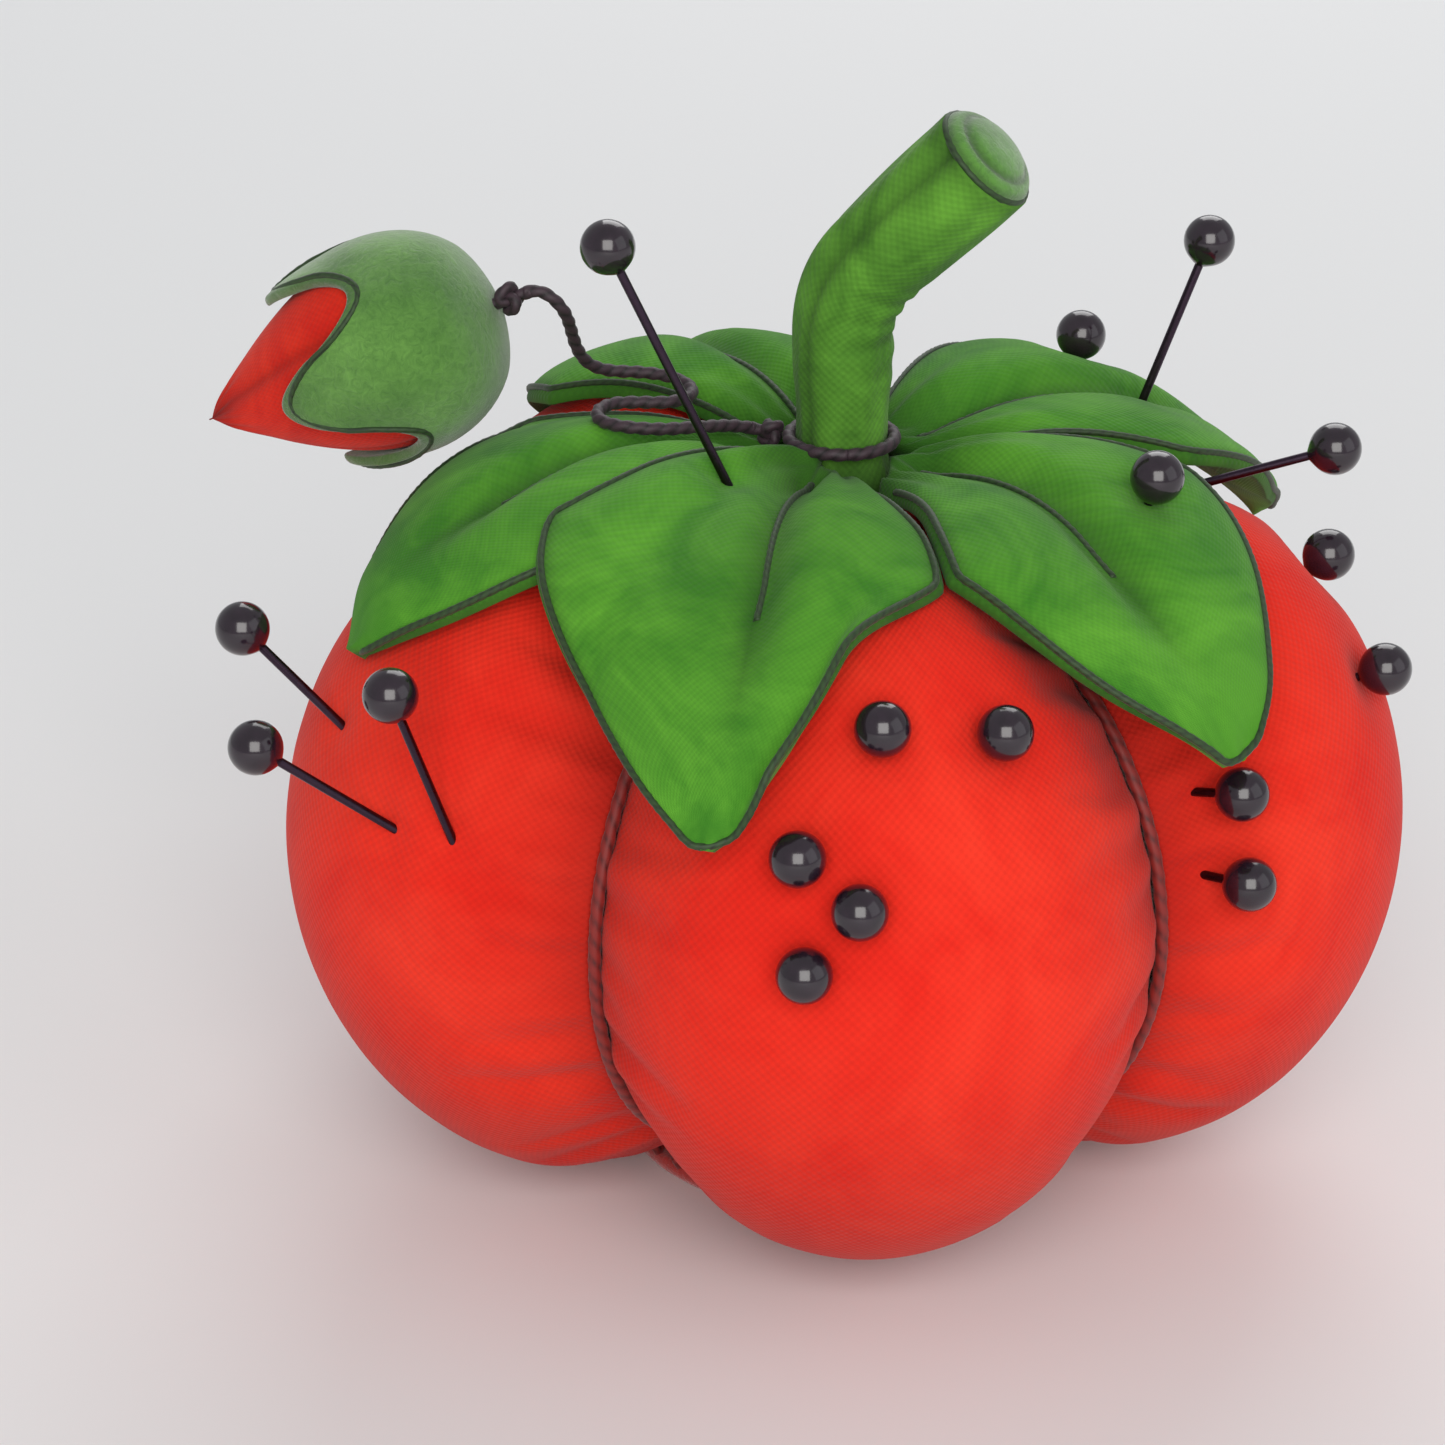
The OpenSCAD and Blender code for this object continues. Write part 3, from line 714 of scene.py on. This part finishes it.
def leaf_point(leaf, u, v, rise):
    """A point of a padded leaf: u from root to tip, v from edge to edge, rise 0 under and 1 on top.

    The leaf lies over the skin. Its padding swells between rim and vein, its root is pleated, its
    free edge waves, and its tip curls up.
    """
    rng = np.random.default_rng(leaf["seed"])
    wave = rng.uniform(0, 6.28, 3)
    psi = np.radians(LEAF_ROOT_PSI + (leaf["tip_psi"] - LEAF_ROOT_PSI) * u)
    plain_r = crest(psi)[0]
    broad = LEAF_HALF_W * np.clip(np.sin(np.pi * u ** 0.82), 0, 1) ** 0.85
    half_w = np.minimum(broad, LEAF_FAN * plain_r - 0.25 * MM) + 0.3 * MM
    half_w = half_w * (1 - leaf["lean"] * v * smooth((u - 0.35) / 0.3))
    fold = leaf["fold"] * smooth((u - 0.5) / 0.2) * smooth((0.99 - u) / 0.12) * smooth((v - 0.52) / 0.48)
    aside = v - 0.26 * fold
    middle = np.radians(leaf["bearing"] + leaf["sway"] * (smooth(u / 0.9) - 0.5))
    bearing = middle + aside * half_w / plain_r
    vein_gap = np.abs(v - leaf_vein(leaf, u)) * half_w
    vein_run = smooth(u / 0.08) * (1 - smooth((u - 0.55) / 0.3))
    quilted = 1 - 0.62 * np.exp(-(vein_gap / (1.5 * MM)) ** 2) * vein_run
    swell = np.sqrt(np.clip(1 - v ** 2, 0, 1))
    body = LEAF_THICK * (0.34 + 0.86 * swell) * quilted * (0.55 + 0.45 * smooth((1 - u) / 0.12))
    pleats = 0.30 * MM * np.cos(5.5 * np.pi * v + wave[0]) * (1 - smooth(u / 0.42)) * smooth(u / 0.05)
    ripple = np.sin(5.2 * u + 2.4 * v + wave[1]) + 0.6 * np.sin(9.1 * u - 3.0 * v + wave[2])
    free = 0.45 * MM * (1 + ripple) * v ** 2 * smooth((u - 0.25) / 0.5)
    curl = leaf["curl"] * 1.6 * MM * smooth((u - 0.72) / 0.28) ** 2
    root = 0.9 * MM * (1 - smooth(plain_r / (8 * MM)))
    over = leaf["over"] * LEAF_OVERLAP * smooth((-0.2 - v) / 0.6) * (1 - smooth((u - 0.6) / 0.2))
    under = 0.3 * MM + root + free + curl + over + 2.4 * MM * fold
    return skin(bearing, psi, under + rise * (body + pleats * smooth(rise / 0.4)), LEAF_GROOVE)


def leaf_grid(leaf):
    """The closed leaf as a grid: root to tip, and round the section from the right rim over the top."""
    u = np.linspace(0.0, 1.0, LEAF_ROWS)[:, None] + np.zeros(LEAF_COLS)
    turn = -np.arange(LEAF_COLS)[None, :] * 2 * np.pi / LEAF_COLS + np.zeros((LEAF_ROWS, 1))
    v = np.cos(turn)
    over = np.sin(turn)
    rise = 0.5 + 0.5 * np.sign(over) * np.abs(over) ** 0.4
    return leaf_point(leaf, u, v, rise), u, v, rise


green_cotton = cloth_material(
    "green_cotton", light=linear(90, 158, 42), mid=linear(56, 122, 26), dark=linear(26, 64, 12),
    thread=0.30 * MM, mottle=9 * MM, weave_depth=0.00005,
)
green_thread = thread_material("dark_green_thread", linear(34, 62, 18), linear(10, 22, 6))
for n, leaf in enumerate(LEAVES, start=1):
    points, u, v, rise = leaf_grid(leaf)
    points = dimpled(points, grid_normals(points))
    # Painted shade: the dye darkens along the quilted vein, at the rim and towards the root, less so on
    # the underside.
    vein_painted_shade = np.exp(-np.abs(v - leaf_vein(leaf, u)) / 0.10) * (1 - smooth((u - 0.6) / 0.3)) * 0.75
    rim_painted_shade = smooth((np.abs(v) - 0.84) / 0.16) * 0.65
    root_painted_shade = (1 - smooth(u / 0.30)) * 0.7
    shade = np.clip(np.maximum(np.maximum(vein_painted_shade, rim_painted_shade), root_painted_shade), 0, 1)
    shade = shade * (0.4 + 0.6 * smooth(rise / 0.5))
    length = arc_lengths(points)[:, None]
    wrap = np.arange(LEAF_COLS + 1) / LEAF_COLS
    across = LEAF_HALF_W * np.cos(2 * np.pi * wrap)[None, :]
    pattern = np.stack(np.broadcast_arrays(across, length), axis=-1)
    piece = grid_piece(f"leaf_cloth_{n}", points, pattern, ring=True, shade=shade, caps=(True, True))
    piece.data.materials.append(green_cotton)
    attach(piece, "cushion")
    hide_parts(f"leaf_{n}")

    way = np.linspace(0.10, 0.995, 60)
    right = leaf_point(leaf, way, np.full(60, 0.95), np.full(60, 0.85))
    left = leaf_point(leaf, way[::-1], np.full(60, -0.95), np.full(60, 0.85))
    rim_line = resampled(np.vstack([right, left])[::2], 260)
    rim = strand_piece(f"rim_{n}", rim_line, SEAM_THREAD_R, 2, SEAM_TWIST, cols=8)
    way = np.linspace(0.06, 0.62, 30)
    vein_line = leaf_point(leaf, way, leaf_vein(leaf, way), np.full(30, 1.05))
    rib = strand_piece(f"rib_{n}", resampled(vein_line[::2], 110), SEAM_THREAD_R, 2, SEAM_TWIST, cols=8)
    stitching = joined([rim, rib], f"leaf_stitching_{n}")
    stitching.data.materials.append(green_thread)
    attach(stitching, "cushion")


# ---- Stem ---------------------------------------------------------------------------------------
# A stuffed tube of green cotton over a bent wire, with one seam down its side and a felt disc
# whipped over the cut end. It stands in the dimple, sewn through the roots of the leaves.

STEM_TURN = np.radians(-25)
STEM_UPRIGHT = 10.5 * MM
STEM_BEND_R = 9 * MM
STEM_BEND = np.radians(45)
STEM_SLOPE = 9.5 * MM
STEM_ROWS = 110
STEM_COLS = 56
STEM_CREASE = 0.10 * MM
SEAM_TURN = np.radians(62)
foot_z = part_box("stem_cover")[0][2]
stem_r = 3.0 * MM
stem_end_r = 3.5 * MM


def stem_path(count):
    """Upright stretch, arc towards the stem's heading, sloping stretch: points and their distances."""
    arc = STEM_BEND_R * STEM_BEND
    run = np.linspace(0, STEM_UPRIGHT + arc + STEM_SLOPE, count)
    bent = np.clip((run - STEM_UPRIGHT) / STEM_BEND_R, 0, STEM_BEND)
    up = np.minimum(run, STEM_UPRIGHT)
    on = np.maximum(run - STEM_UPRIGHT - arc, 0)
    ahead = STEM_BEND_R * (1 - np.cos(bent)) + on * np.sin(STEM_BEND)
    z = foot_z + up + STEM_BEND_R * np.sin(bent) + on * np.cos(STEM_BEND)
    return np.stack([ahead * np.cos(STEM_TURN), ahead * np.sin(STEM_TURN), z], axis=-1), run


stem_line, stem_run = stem_path(STEM_ROWS)
side_axis = np.array([np.sin(STEM_TURN), -np.cos(STEM_TURN), 0.0])
stem_along = np.gradient(stem_line, axis=0)
stem_along /= np.linalg.norm(stem_along, axis=1, keepdims=True)
stem_across = np.cross(stem_along, side_axis)
stem_turn = np.arange(STEM_COLS)[None, :] * 2 * np.pi / STEM_COLS
t = (stem_run / stem_run[-1])[:, None]
flare = 0.9 * MM * (1 - smooth(stem_run[:, None] / (2.6 * MM)))
waist = stem_r + 0.3 * MM * smooth((stem_run[:, None] - 5 * MM) / (4 * MM)) + flare
waist = waist + (stem_end_r - stem_r) * smooth((t - 0.35) / 0.65)
inner = np.clip(-np.cos(stem_turn), 0, 1) ** 1.5
bent_here = smooth((stem_run[:, None] - 6 * MM) / (4 * MM))
bent_here = bent_here * smooth((20 * MM - stem_run[:, None]) / (5 * MM))
creases = STEM_CREASE * np.sin(2 * np.pi * stem_run[:, None] / (2.3 * MM)) * inner * bent_here
lengthways = 0.09 * MM * np.sin(5 * stem_turn + 2.5 * np.sin(6 * t))
lengthways = lengthways + 0.06 * MM * np.sin(9 * stem_turn - 4 * t)
seam_gap = np.abs(np.angle(np.exp(1j * (stem_turn - SEAM_TURN)))) * stem_r
seam = -0.32 * MM * np.exp(-(seam_gap / (0.5 * MM)) ** 2)
stem_radius = waist + creases + lengthways + seam
stem_points = stem_line[:, None] + stem_radius[..., None] * (
    np.cos(stem_turn)[..., None] * (-stem_across[:, None]) + np.sin(stem_turn)[..., None] * side_axis)
stem_points = stem_points[::-1]
# Painted shade: the dye darkens along the seam, at the foot among the leaves, just below the cut end and
# in the creases inside the bend.
stem_shade = np.clip(
    0.65 * np.exp(-seam_gap / (0.6 * MM)) + 0.75 * (1 - smooth(stem_run[:, None] / (6 * MM)))
    + 0.35 * smooth((t - 0.93) / 0.07) + 0.3 * np.clip(creases / -STEM_CREASE, 0, 1), 0, 1)[::-1]
stem_uv = np.stack(np.broadcast_arrays(
    np.arange(STEM_COLS + 1)[None, :] * 2 * np.pi * stem_r / STEM_COLS, stem_run[::-1, None]), axis=-1)
stem_cotton = cloth_material(
    "stem_cotton", light=linear(98, 158, 50), mid=linear(68, 118, 34), dark=linear(30, 62, 14),
    thread=0.28 * MM, mottle=6 * MM, weave_depth=0.00005,
)
stem = grid_piece("stem_cloth", stem_points, stem_uv, ring=True, shade=stem_shade, caps=(True, True))
stem.data.materials.append(stem_cotton)
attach(stem, "cushion")
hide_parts("stem_cover")

stem_tip = stem_line[-1]
tip_along = stem_along[-1]
tip_across = stem_across[-1]


def at_stem_tip(local):
    """Points given as (across, aside, along) from the middle of the stem's cut end."""
    across, aside, along = local[..., :1], local[..., 1:2], local[..., 2:]
    return stem_tip + across * tip_across + aside * side_axis + along * tip_along


CUT_DOME = 1.7 * MM
CUT_EDGE = 1.03
cut_rim = 0.9 + 0.13 * np.sin(np.linspace(0.1, np.pi / 2, 6))
cut_out = np.concatenate([np.linspace(0.02, 0.9, 14), cut_rim])[:, None]
cut_groove = np.exp(-((cut_out - 0.74) / 0.06) ** 2)
cut_rise = np.sqrt(np.clip(CUT_EDGE ** 2 - cut_out ** 2, 0, 1)) - 0.16 * cut_groove
cut_turn = np.arange(72)[None, :] * 2 * np.pi / 72
cut_local = np.stack(np.broadcast_arrays(
    stem_end_r * cut_out * np.cos(cut_turn), stem_end_r * cut_out * np.sin(cut_turn),
    CUT_DOME * cut_rise + 0 * cut_turn), axis=-1)
# Painted shade in the groove and round the rim of the cut end.
cut_shade = 0.8 * cut_groove + 0.5 * smooth((cut_out - 0.92) / 0.08) + np.zeros_like(cut_turn)
cut_end = grid_piece(
    "stem_end_felt", at_stem_tip(cut_local)[:, ::-1], no_pattern(cut_local),
    ring=True, shade=np.clip(cut_shade, 0, 1), caps=(True, True),
)
cut_end.data.materials.append(felt_material("cut_end_felt", linear(84, 138, 48), linear(48, 92, 26)))
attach(cut_end, "cushion")
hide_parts("stem_end")

cut_ring = np.linspace(0, 2 * np.pi, 61)
ring_line = at_stem_tip(np.stack([
    stem_end_r * np.cos(cut_ring), stem_end_r * np.sin(cut_ring), np.full(61, 0.12 * MM)], axis=-1))
end_seam = strand_piece("stem_end_seam", ring_line, SEAM_THREAD_R, 2, SEAM_TWIST, cols=8)
end_seam.data.materials.append(green_thread)
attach(end_seam, "cushion")


def steel_material(name, colour, rough):
    """Drawn steel wire: metal with fine lengthways streaks."""
    material, tree, shader = new_material(name)
    place = add_node(tree, "TexCoord")
    streak = add_node(tree, "TexNoise", [
        ("Vector", place.outputs["Object"]), ("Scale", 2500.0), ("Detail", 2.0),
    ])
    tone = add_node(tree, "MapRange", [
        ("Value", streak.outputs["Fac"]), ("To Min", rough - 0.08), ("To Max", rough + 0.12),
    ])
    ramp = add_node(tree, "ValToRGB", [("Fac", streak.outputs["Fac"])])
    ramp.color_ramp.elements[0].color = (*(0.75 * c for c in colour), 1)
    ramp.color_ramp.elements[1].color = (*colour, 1)
    tree.links.new(ramp.outputs["Color"], shader.inputs["Base Color"])
    tree.links.new(tone.outputs["Result"], shader.inputs["Roughness"])
    shader.inputs["Metallic"].default_value = 1.0
    return material


wire = frame["nodes"]["stem_wire"]
wire.data.materials.clear()
wire.data.materials.append(steel_material("stem_wire_steel", linear(170, 170, 172), 0.35))


# ---- Cord, its loop and its knots ---------------------------------------------------------------
# Thin dark waxed cord: a loop that turns round the stem's foot, a hitch on it, a loose wander over
# the leaf, and the end knotted into the strawberry's cap.

CORD_R = 0.45 * MM
CORD_TWIST = 2.0 * MM
CORD_ROUTE = (
    (5.9, 0.5, 51.6), (7.2, 1.6, 52.1), (8.9, 3.5, 52.6), (11.0, 5.1, 52.9), (13.2, 5.7, 53.1),
    (15.2, 4.9, 53.1), (15.9, 3.1, 53.1), (15.2, 1.4, 53.1), (13.5, 0.6, 53.0), (11.6, 0.0, 52.9),
    (10.5, -1.6, 52.8), (10.8, -3.6, 52.8), (12.5, -4.8, 53.0), (14.6, -5.0, 53.1), (16.5, -4.4, 53.3),
    (17.7, -3.4, 54.05), (18.3, -2.5, 55.35), (18.5, -1.7, 56.8), (18.6, -0.8, 58.15), (19.0, -0.2, 59.25),
    (20.1, 0, 60.2), (21.3, 0, 60.07),
)
BERRY_BEARING = np.radians(-104)
berry_out = np.array([np.sin(BERRY_BEARING), -np.cos(BERRY_BEARING), 0])
berry_aside = np.array([np.cos(BERRY_BEARING), np.sin(BERRY_BEARING), 0])
upward = np.array([0.0, 0.0, 1.0])

dark_cord = thread_material("dark_cord", linear(56, 38, 48), linear(16, 10, 14), sheen=0.05)
route = np.array(CORD_ROUTE) * MM
placed = route[:, :1] * berry_out + route[:, 1:2] * berry_aside + route[:, 2:] * upward
cord_line = resampled(placed, 240, eased=16)
cord = strand_piece("strawberry_cord", cord_line, CORD_R, 2, CORD_TWIST, cols=10)
cord.data.materials.append(dark_cord)
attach(cord, "strawberry")
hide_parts("emery_cord")

loop_lo, loop_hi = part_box("cord_loop")
loop_turn = np.linspace(0, 2 * np.pi, 121)
loop_r = loop_hi[0] - CORD_R
loop_z = (loop_lo[2] + loop_hi[2]) / 2
loop_line = np.stack([
    loop_r * np.sin(loop_turn), -loop_r * np.cos(loop_turn), np.full(121, loop_z)], axis=-1)
loop = strand_piece("cord_ring", loop_line, CORD_R, 2, CORD_TWIST, cols=10)


def trefoil(middle, size, tilt, name):
    """A small overhand knot: a trefoil curve of cord about a middle point, tilted up by an angle."""
    a = np.linspace(0, 2 * np.pi, 90)
    rise = (np.sin(a) + 2 * np.sin(2 * a))[:, None] * size / 3
    aside = (np.cos(a) - 2 * np.cos(2 * a))[:, None] * size / 3
    ahead = -1.7 * np.sin(3 * a)[:, None] * size / 3
    out_now = np.cos(tilt) * berry_out + np.sin(tilt) * upward
    up_now = -np.sin(tilt) * berry_out + np.cos(tilt) * upward
    line = middle + rise * up_now + aside * berry_aside + ahead * out_now
    return strand_piece(name, line, 0.85 * CORD_R, 2, CORD_TWIST, cols=8)


HITCH_OUT = 4.73 * MM
hitch_mid = HITCH_OUT * berry_out + loop_z * upward
hitch = trefoil(hitch_mid, 0.75 * MM, 0.3, "cord_hitch_turns")
hitch.data.materials.append(dark_cord)
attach(hitch, "cord_loop")
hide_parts("cord_hitch")
loop.data.materials.append(dark_cord)
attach(loop, "cord_loop")
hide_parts("cord_loop")

into_hitch = strand_piece(
    "cord_into_hitch", np.linspace(hitch_mid, cord_line[1], 10), CORD_R, 2, CORD_TWIST, cols=10,
)
into_hitch.data.materials.append(dark_cord)
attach(into_hitch, "strawberry")


# ---- Strawberry emery ---------------------------------------------------------------------------
# A small red cotton strawberry packed with emery grit, to sharpen pins in, sewn from four panels,
# with a cap of green felt in four broad sepals whipped in dark thread.

BERRY_TILT = np.radians(25)
BERRY_LENGTH = 21.5 * MM
BERRY_R = 6.8 * MM
BERRY_FULLNESS = 0.62
BERRY_BLUNTNESS = 0.88
CAP_THICK = 0.7 * MM
CAP_FIT = 0.16 * MM
CAP_START = 0.00002
CAP_MID = 0.46
CAP_SWING = 0.17
BERRY_ROWS = 90
BERRY_COLS = 120
knot_lo, knot_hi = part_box("emery_knot")
knot_mid = np.array([(a + b) / 2 for a, b in zip(knot_lo, knot_hi)])
knot_r = (knot_hi[2] - knot_lo[2]) / 2
berry_axis = np.cos(BERRY_TILT) * berry_out - np.sin(BERRY_TILT) * upward
berry_up = np.sin(BERRY_TILT) * berry_out + np.cos(BERRY_TILT) * upward
berry_end = knot_mid + berry_axis * (CAP_THICK + CAP_FIT + knot_r)


def on_berry(u, turn, radius, ahead=0.0):
    """A point about the strawberry's axis: u from cap to tip, turn from its underside, then radius."""
    down = (radius * np.cos(turn))[..., None] * -berry_up
    across = (radius * np.sin(turn))[..., None] * berry_aside
    return berry_end + (BERRY_LENGTH * u + ahead)[..., None] * berry_axis + down + across


def berry_half(u):
    """Radius of the strawberry along its length: full near the cap and drawn to a point."""
    return BERRY_R * np.sin(np.pi * np.clip(u, 0, 1) ** BERRY_FULLNESS) ** BERRY_BLUNTNESS


berry_u = np.linspace(0.004, 0.998, BERRY_ROWS)[:, None] + np.zeros(BERRY_COLS)
berry_turn = np.arange(BERRY_COLS)[None, :] * 2 * np.pi / BERRY_COLS + np.zeros((BERRY_ROWS, 1))
panel_gap = np.abs(np.angle(np.exp(4j * (berry_turn - 0.5)))) / 4 * berry_half(berry_u)
panel_seam = np.exp(-(panel_gap / (0.45 * MM)) ** 2)
tip_gather = 0.12 * MM * np.sin(16 * berry_turn) * smooth((berry_u - 0.75) / 0.2)
tip_gather = tip_gather * smooth((1 - berry_u) / 0.1)
berry_radius = np.maximum(berry_half(berry_u) - 0.28 * MM * panel_seam + tip_gather, 0.05 * MM)
berry_points = on_berry(berry_u, berry_turn, berry_radius)
berry_across = np.arange(BERRY_COLS + 1)[None, :] * 2 * np.pi * BERRY_R / BERRY_COLS
berry_uv = np.stack(np.broadcast_arrays(berry_across, BERRY_LENGTH * berry_u[:, :1]), axis=-1)
# Painted shade along the panel seams and towards the tip.
berry_shade = np.clip(0.6 * np.exp(-panel_gap / (0.5 * MM)) + 0.45 * smooth((berry_u - 0.8) / 0.2), 0, 1)
berry_cotton = cloth_material(
    "strawberry_cotton", light=linear(222, 46, 20), mid=linear(200, 26, 8), dark=linear(124, 10, 4),
    thread=0.26 * MM, mottle=6 * MM, weave_depth=0.00004,
)
berry = grid_piece(
    "strawberry_cloth", berry_points, berry_uv, ring=True, shade=berry_shade, caps=(True, True),
)
berry.data.materials.append(berry_cotton)
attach(berry, "strawberry")
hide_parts("emery_cover")


def cap_edge(turn):
    """How far down the strawberry the cap reaches at a turn: four broad sepals with notches between."""
    wave = np.cos(4 * (turn - np.radians(90)))
    return CAP_MID + CAP_SWING * np.sign(wave) * np.abs(wave) ** 0.8


cap_turn = np.arange(192)[None, :] * 2 * np.pi / 192
cap_way = np.concatenate([np.linspace(0, 1, 26), np.full(5, 1.0), np.linspace(1, 0, 26)])[:, None]
cap_out = np.concatenate([
    np.ones(26), 0.5 + 0.5 * np.cos(np.linspace(0, np.pi, 7))[1:-1], np.zeros(26)])[:, None]
cap_bulge = np.concatenate([np.zeros(26), np.sin(np.linspace(0, np.pi, 7))[1:-1], np.zeros(26)])[:, None]
cap_u = CAP_START + (cap_edge(cap_turn) - CAP_START) * cap_way ** 1.6 + 0.012 * cap_bulge
sepal = smooth((cap_edge(cap_turn) - CAP_MID + CAP_SWING) / (2 * CAP_SWING))
lifted = 0.55 * MM * sepal * smooth((cap_way - 0.7) / 0.3) ** 2
edge_puff = 0.18 * MM * np.cos(8 * cap_turn + 1) * smooth((cap_way - 0.4) / 0.6)
cap_round = smooth(cap_u / 0.08)
cap_radius = berry_half(cap_u) + (0.08 * MM + cap_out * CAP_THICK) * cap_round + lifted + edge_puff * 0.5
cap_ahead = -(cap_out * CAP_THICK + 0.08 * MM) * (1 - smooth(3 * cap_u))
cap_points = on_berry(cap_u, cap_turn + np.zeros_like(cap_u), cap_radius, cap_ahead)
# Painted shade at the sepals' rims and round the middle where the knot sits.
cap_shade = 0.55 * smooth((cap_way - 0.93) / 0.07) + 0.3 * (1 - smooth(cap_way / 0.25))
cap_shade = np.clip(cap_shade + np.zeros_like(cap_turn), 0, 1)
cap = grid_piece("strawberry_cap", cap_points, no_pattern(cap_points), ring=True, shade=cap_shade)
cap.data.materials.append(felt_material("cap_felt", linear(98, 148, 62), linear(58, 104, 34)))
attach(cap, "strawberry")
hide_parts("emery_cap")

hem_turn = np.linspace(0, 2 * np.pi, 241)
hem_u = cap_edge(hem_turn) - 0.03
hem_sepal = smooth((cap_edge(hem_turn) - CAP_MID + CAP_SWING) / (2 * CAP_SWING))
hem_line = on_berry(hem_u, hem_turn, berry_half(hem_u) + 0.1 * MM + CAP_THICK + 0.4 * MM * hem_sepal)
hem = strand_piece("cap_stitching", hem_line, 0.22 * MM, 2, 1.3 * MM, cols=8)
hem.data.materials.append(green_thread)
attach(hem, "strawberry")

turns = trefoil(knot_mid, 0.85 * MM, -BERRY_TILT, "cap_knot_turns")
through_line = resampled(np.array([cord_line[-4], knot_mid, berry_end]), 24)
through = strand_piece("cord_through_knot", through_line, CORD_R, 2, CORD_TWIST, cols=10)
knot = joined([turns, through], "cap_knot")
knot.data.materials.append(dark_cord)
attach(knot, "strawberry")
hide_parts("emery_knot")

grit_material, grit_tree, grit_shader = new_material("emery_grit")
grit_place = add_node(grit_tree, "TexCoord")
grit_cells = add_node(grit_tree, "TexVoronoi", [
    ("Vector", grit_place.outputs["Object"]), ("Scale", 4000.0),
])
grit_ramp = add_node(grit_tree, "ValToRGB", [("Fac", grit_cells.outputs["Distance"])])
grit_ramp.color_ramp.elements[0].color = (*linear(60, 56, 52), 1)
grit_ramp.color_ramp.elements[1].color = (*linear(120, 114, 106), 1)
grit_tree.links.new(grit_ramp.outputs["Color"], grit_shader.inputs["Base Color"])
grit_shader.inputs["Roughness"].default_value = 0.9
grit = frame["nodes"]["emery_fill"]
grit.data.materials.clear()
grit.data.materials.append(grit_material)


# ---- Pins ---------------------------------------------------------------------------------------
# Blued steel shanks with moulded black balls. Each ball is drawn in to a short collar where it
# grips the shank, and shows the faint line of its mould.

BALL_ROWS = 40
BALL_COLS = 48

blued_steel = steel_material("blued_steel", linear(70, 56, 70), 0.28)
ball_material, ball_tree, ball_shader = new_material("black_ball")
ball_place = add_node(ball_tree, "TexCoord")
ball_cloud = add_node(ball_tree, "TexNoise", [
    ("Vector", ball_place.outputs["Object"]), ("Scale", 1200.0), ("Detail", 3.0),
])
ball_ramp = add_node(ball_tree, "ValToRGB", [("Fac", ball_cloud.outputs["Fac"])])
ball_ramp.color_ramp.elements[0].color = (*linear(20, 13, 20), 1)
ball_ramp.color_ramp.elements[1].color = (*linear(44, 30, 42), 1)
ball_rough = add_node(ball_tree, "MapRange", [
    ("Value", ball_cloud.outputs["Fac"]), ("To Min", 0.12), ("To Max", 0.24),
])
ball_tree.links.new(ball_ramp.outputs["Color"], ball_shader.inputs["Base Color"])
ball_tree.links.new(ball_rough.outputs["Result"], ball_shader.inputs["Roughness"])
ball_shader.inputs["Coat Weight"].default_value = 0.4
ball_shader.inputs["Coat Roughness"].default_value = 0.08

for joint in frame["joints"]:
    if not joint["name"].startswith("pin_"):
        continue
    body = joint["child"]
    lo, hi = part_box(body + "_head")
    middle = np.array([(a + b) / 2 for a, b in zip(lo, hi)])
    ball_r = (hi[2] - lo[2]) / 2
    out = np.array(joint["axis"])
    across = np.cross(out, [0.0, 0.0, 1.0])
    across /= np.linalg.norm(across)
    beside = np.cross(out, across)
    dip = np.linspace(0.02, np.pi - 0.16, BALL_ROWS)[:, None]
    turn = np.arange(BALL_COLS)[None, :] * 2 * np.pi / BALL_COLS
    mould_line = 0.008 * ball_r * np.exp(-((dip - np.pi / 2) / 0.03) ** 2)
    collar = 0.10 * ball_r * np.exp(-((np.pi - dip) / 0.30) ** 2)
    size = ball_r * 0.995 + mould_line
    ball_points = (middle + (size * np.sin(dip) * np.cos(turn))[..., None] * across
                   + (size * np.sin(dip) * np.sin(turn))[..., None] * beside
                   + ((size * np.cos(dip) - collar) + np.zeros_like(turn))[..., None] * out)
    ball_points = ball_points[:, ::-1]
    ball = grid_piece(body + "_ball", ball_points, no_pattern(ball_points), ring=True, caps=(True, True))
    ball.data.materials.append(ball_material)
    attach(ball, body)
    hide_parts(body + "_head")
    shank = frame["nodes"][body + "_shank"]
    shank.data.materials.clear()
    shank.data.materials.append(blued_steel)
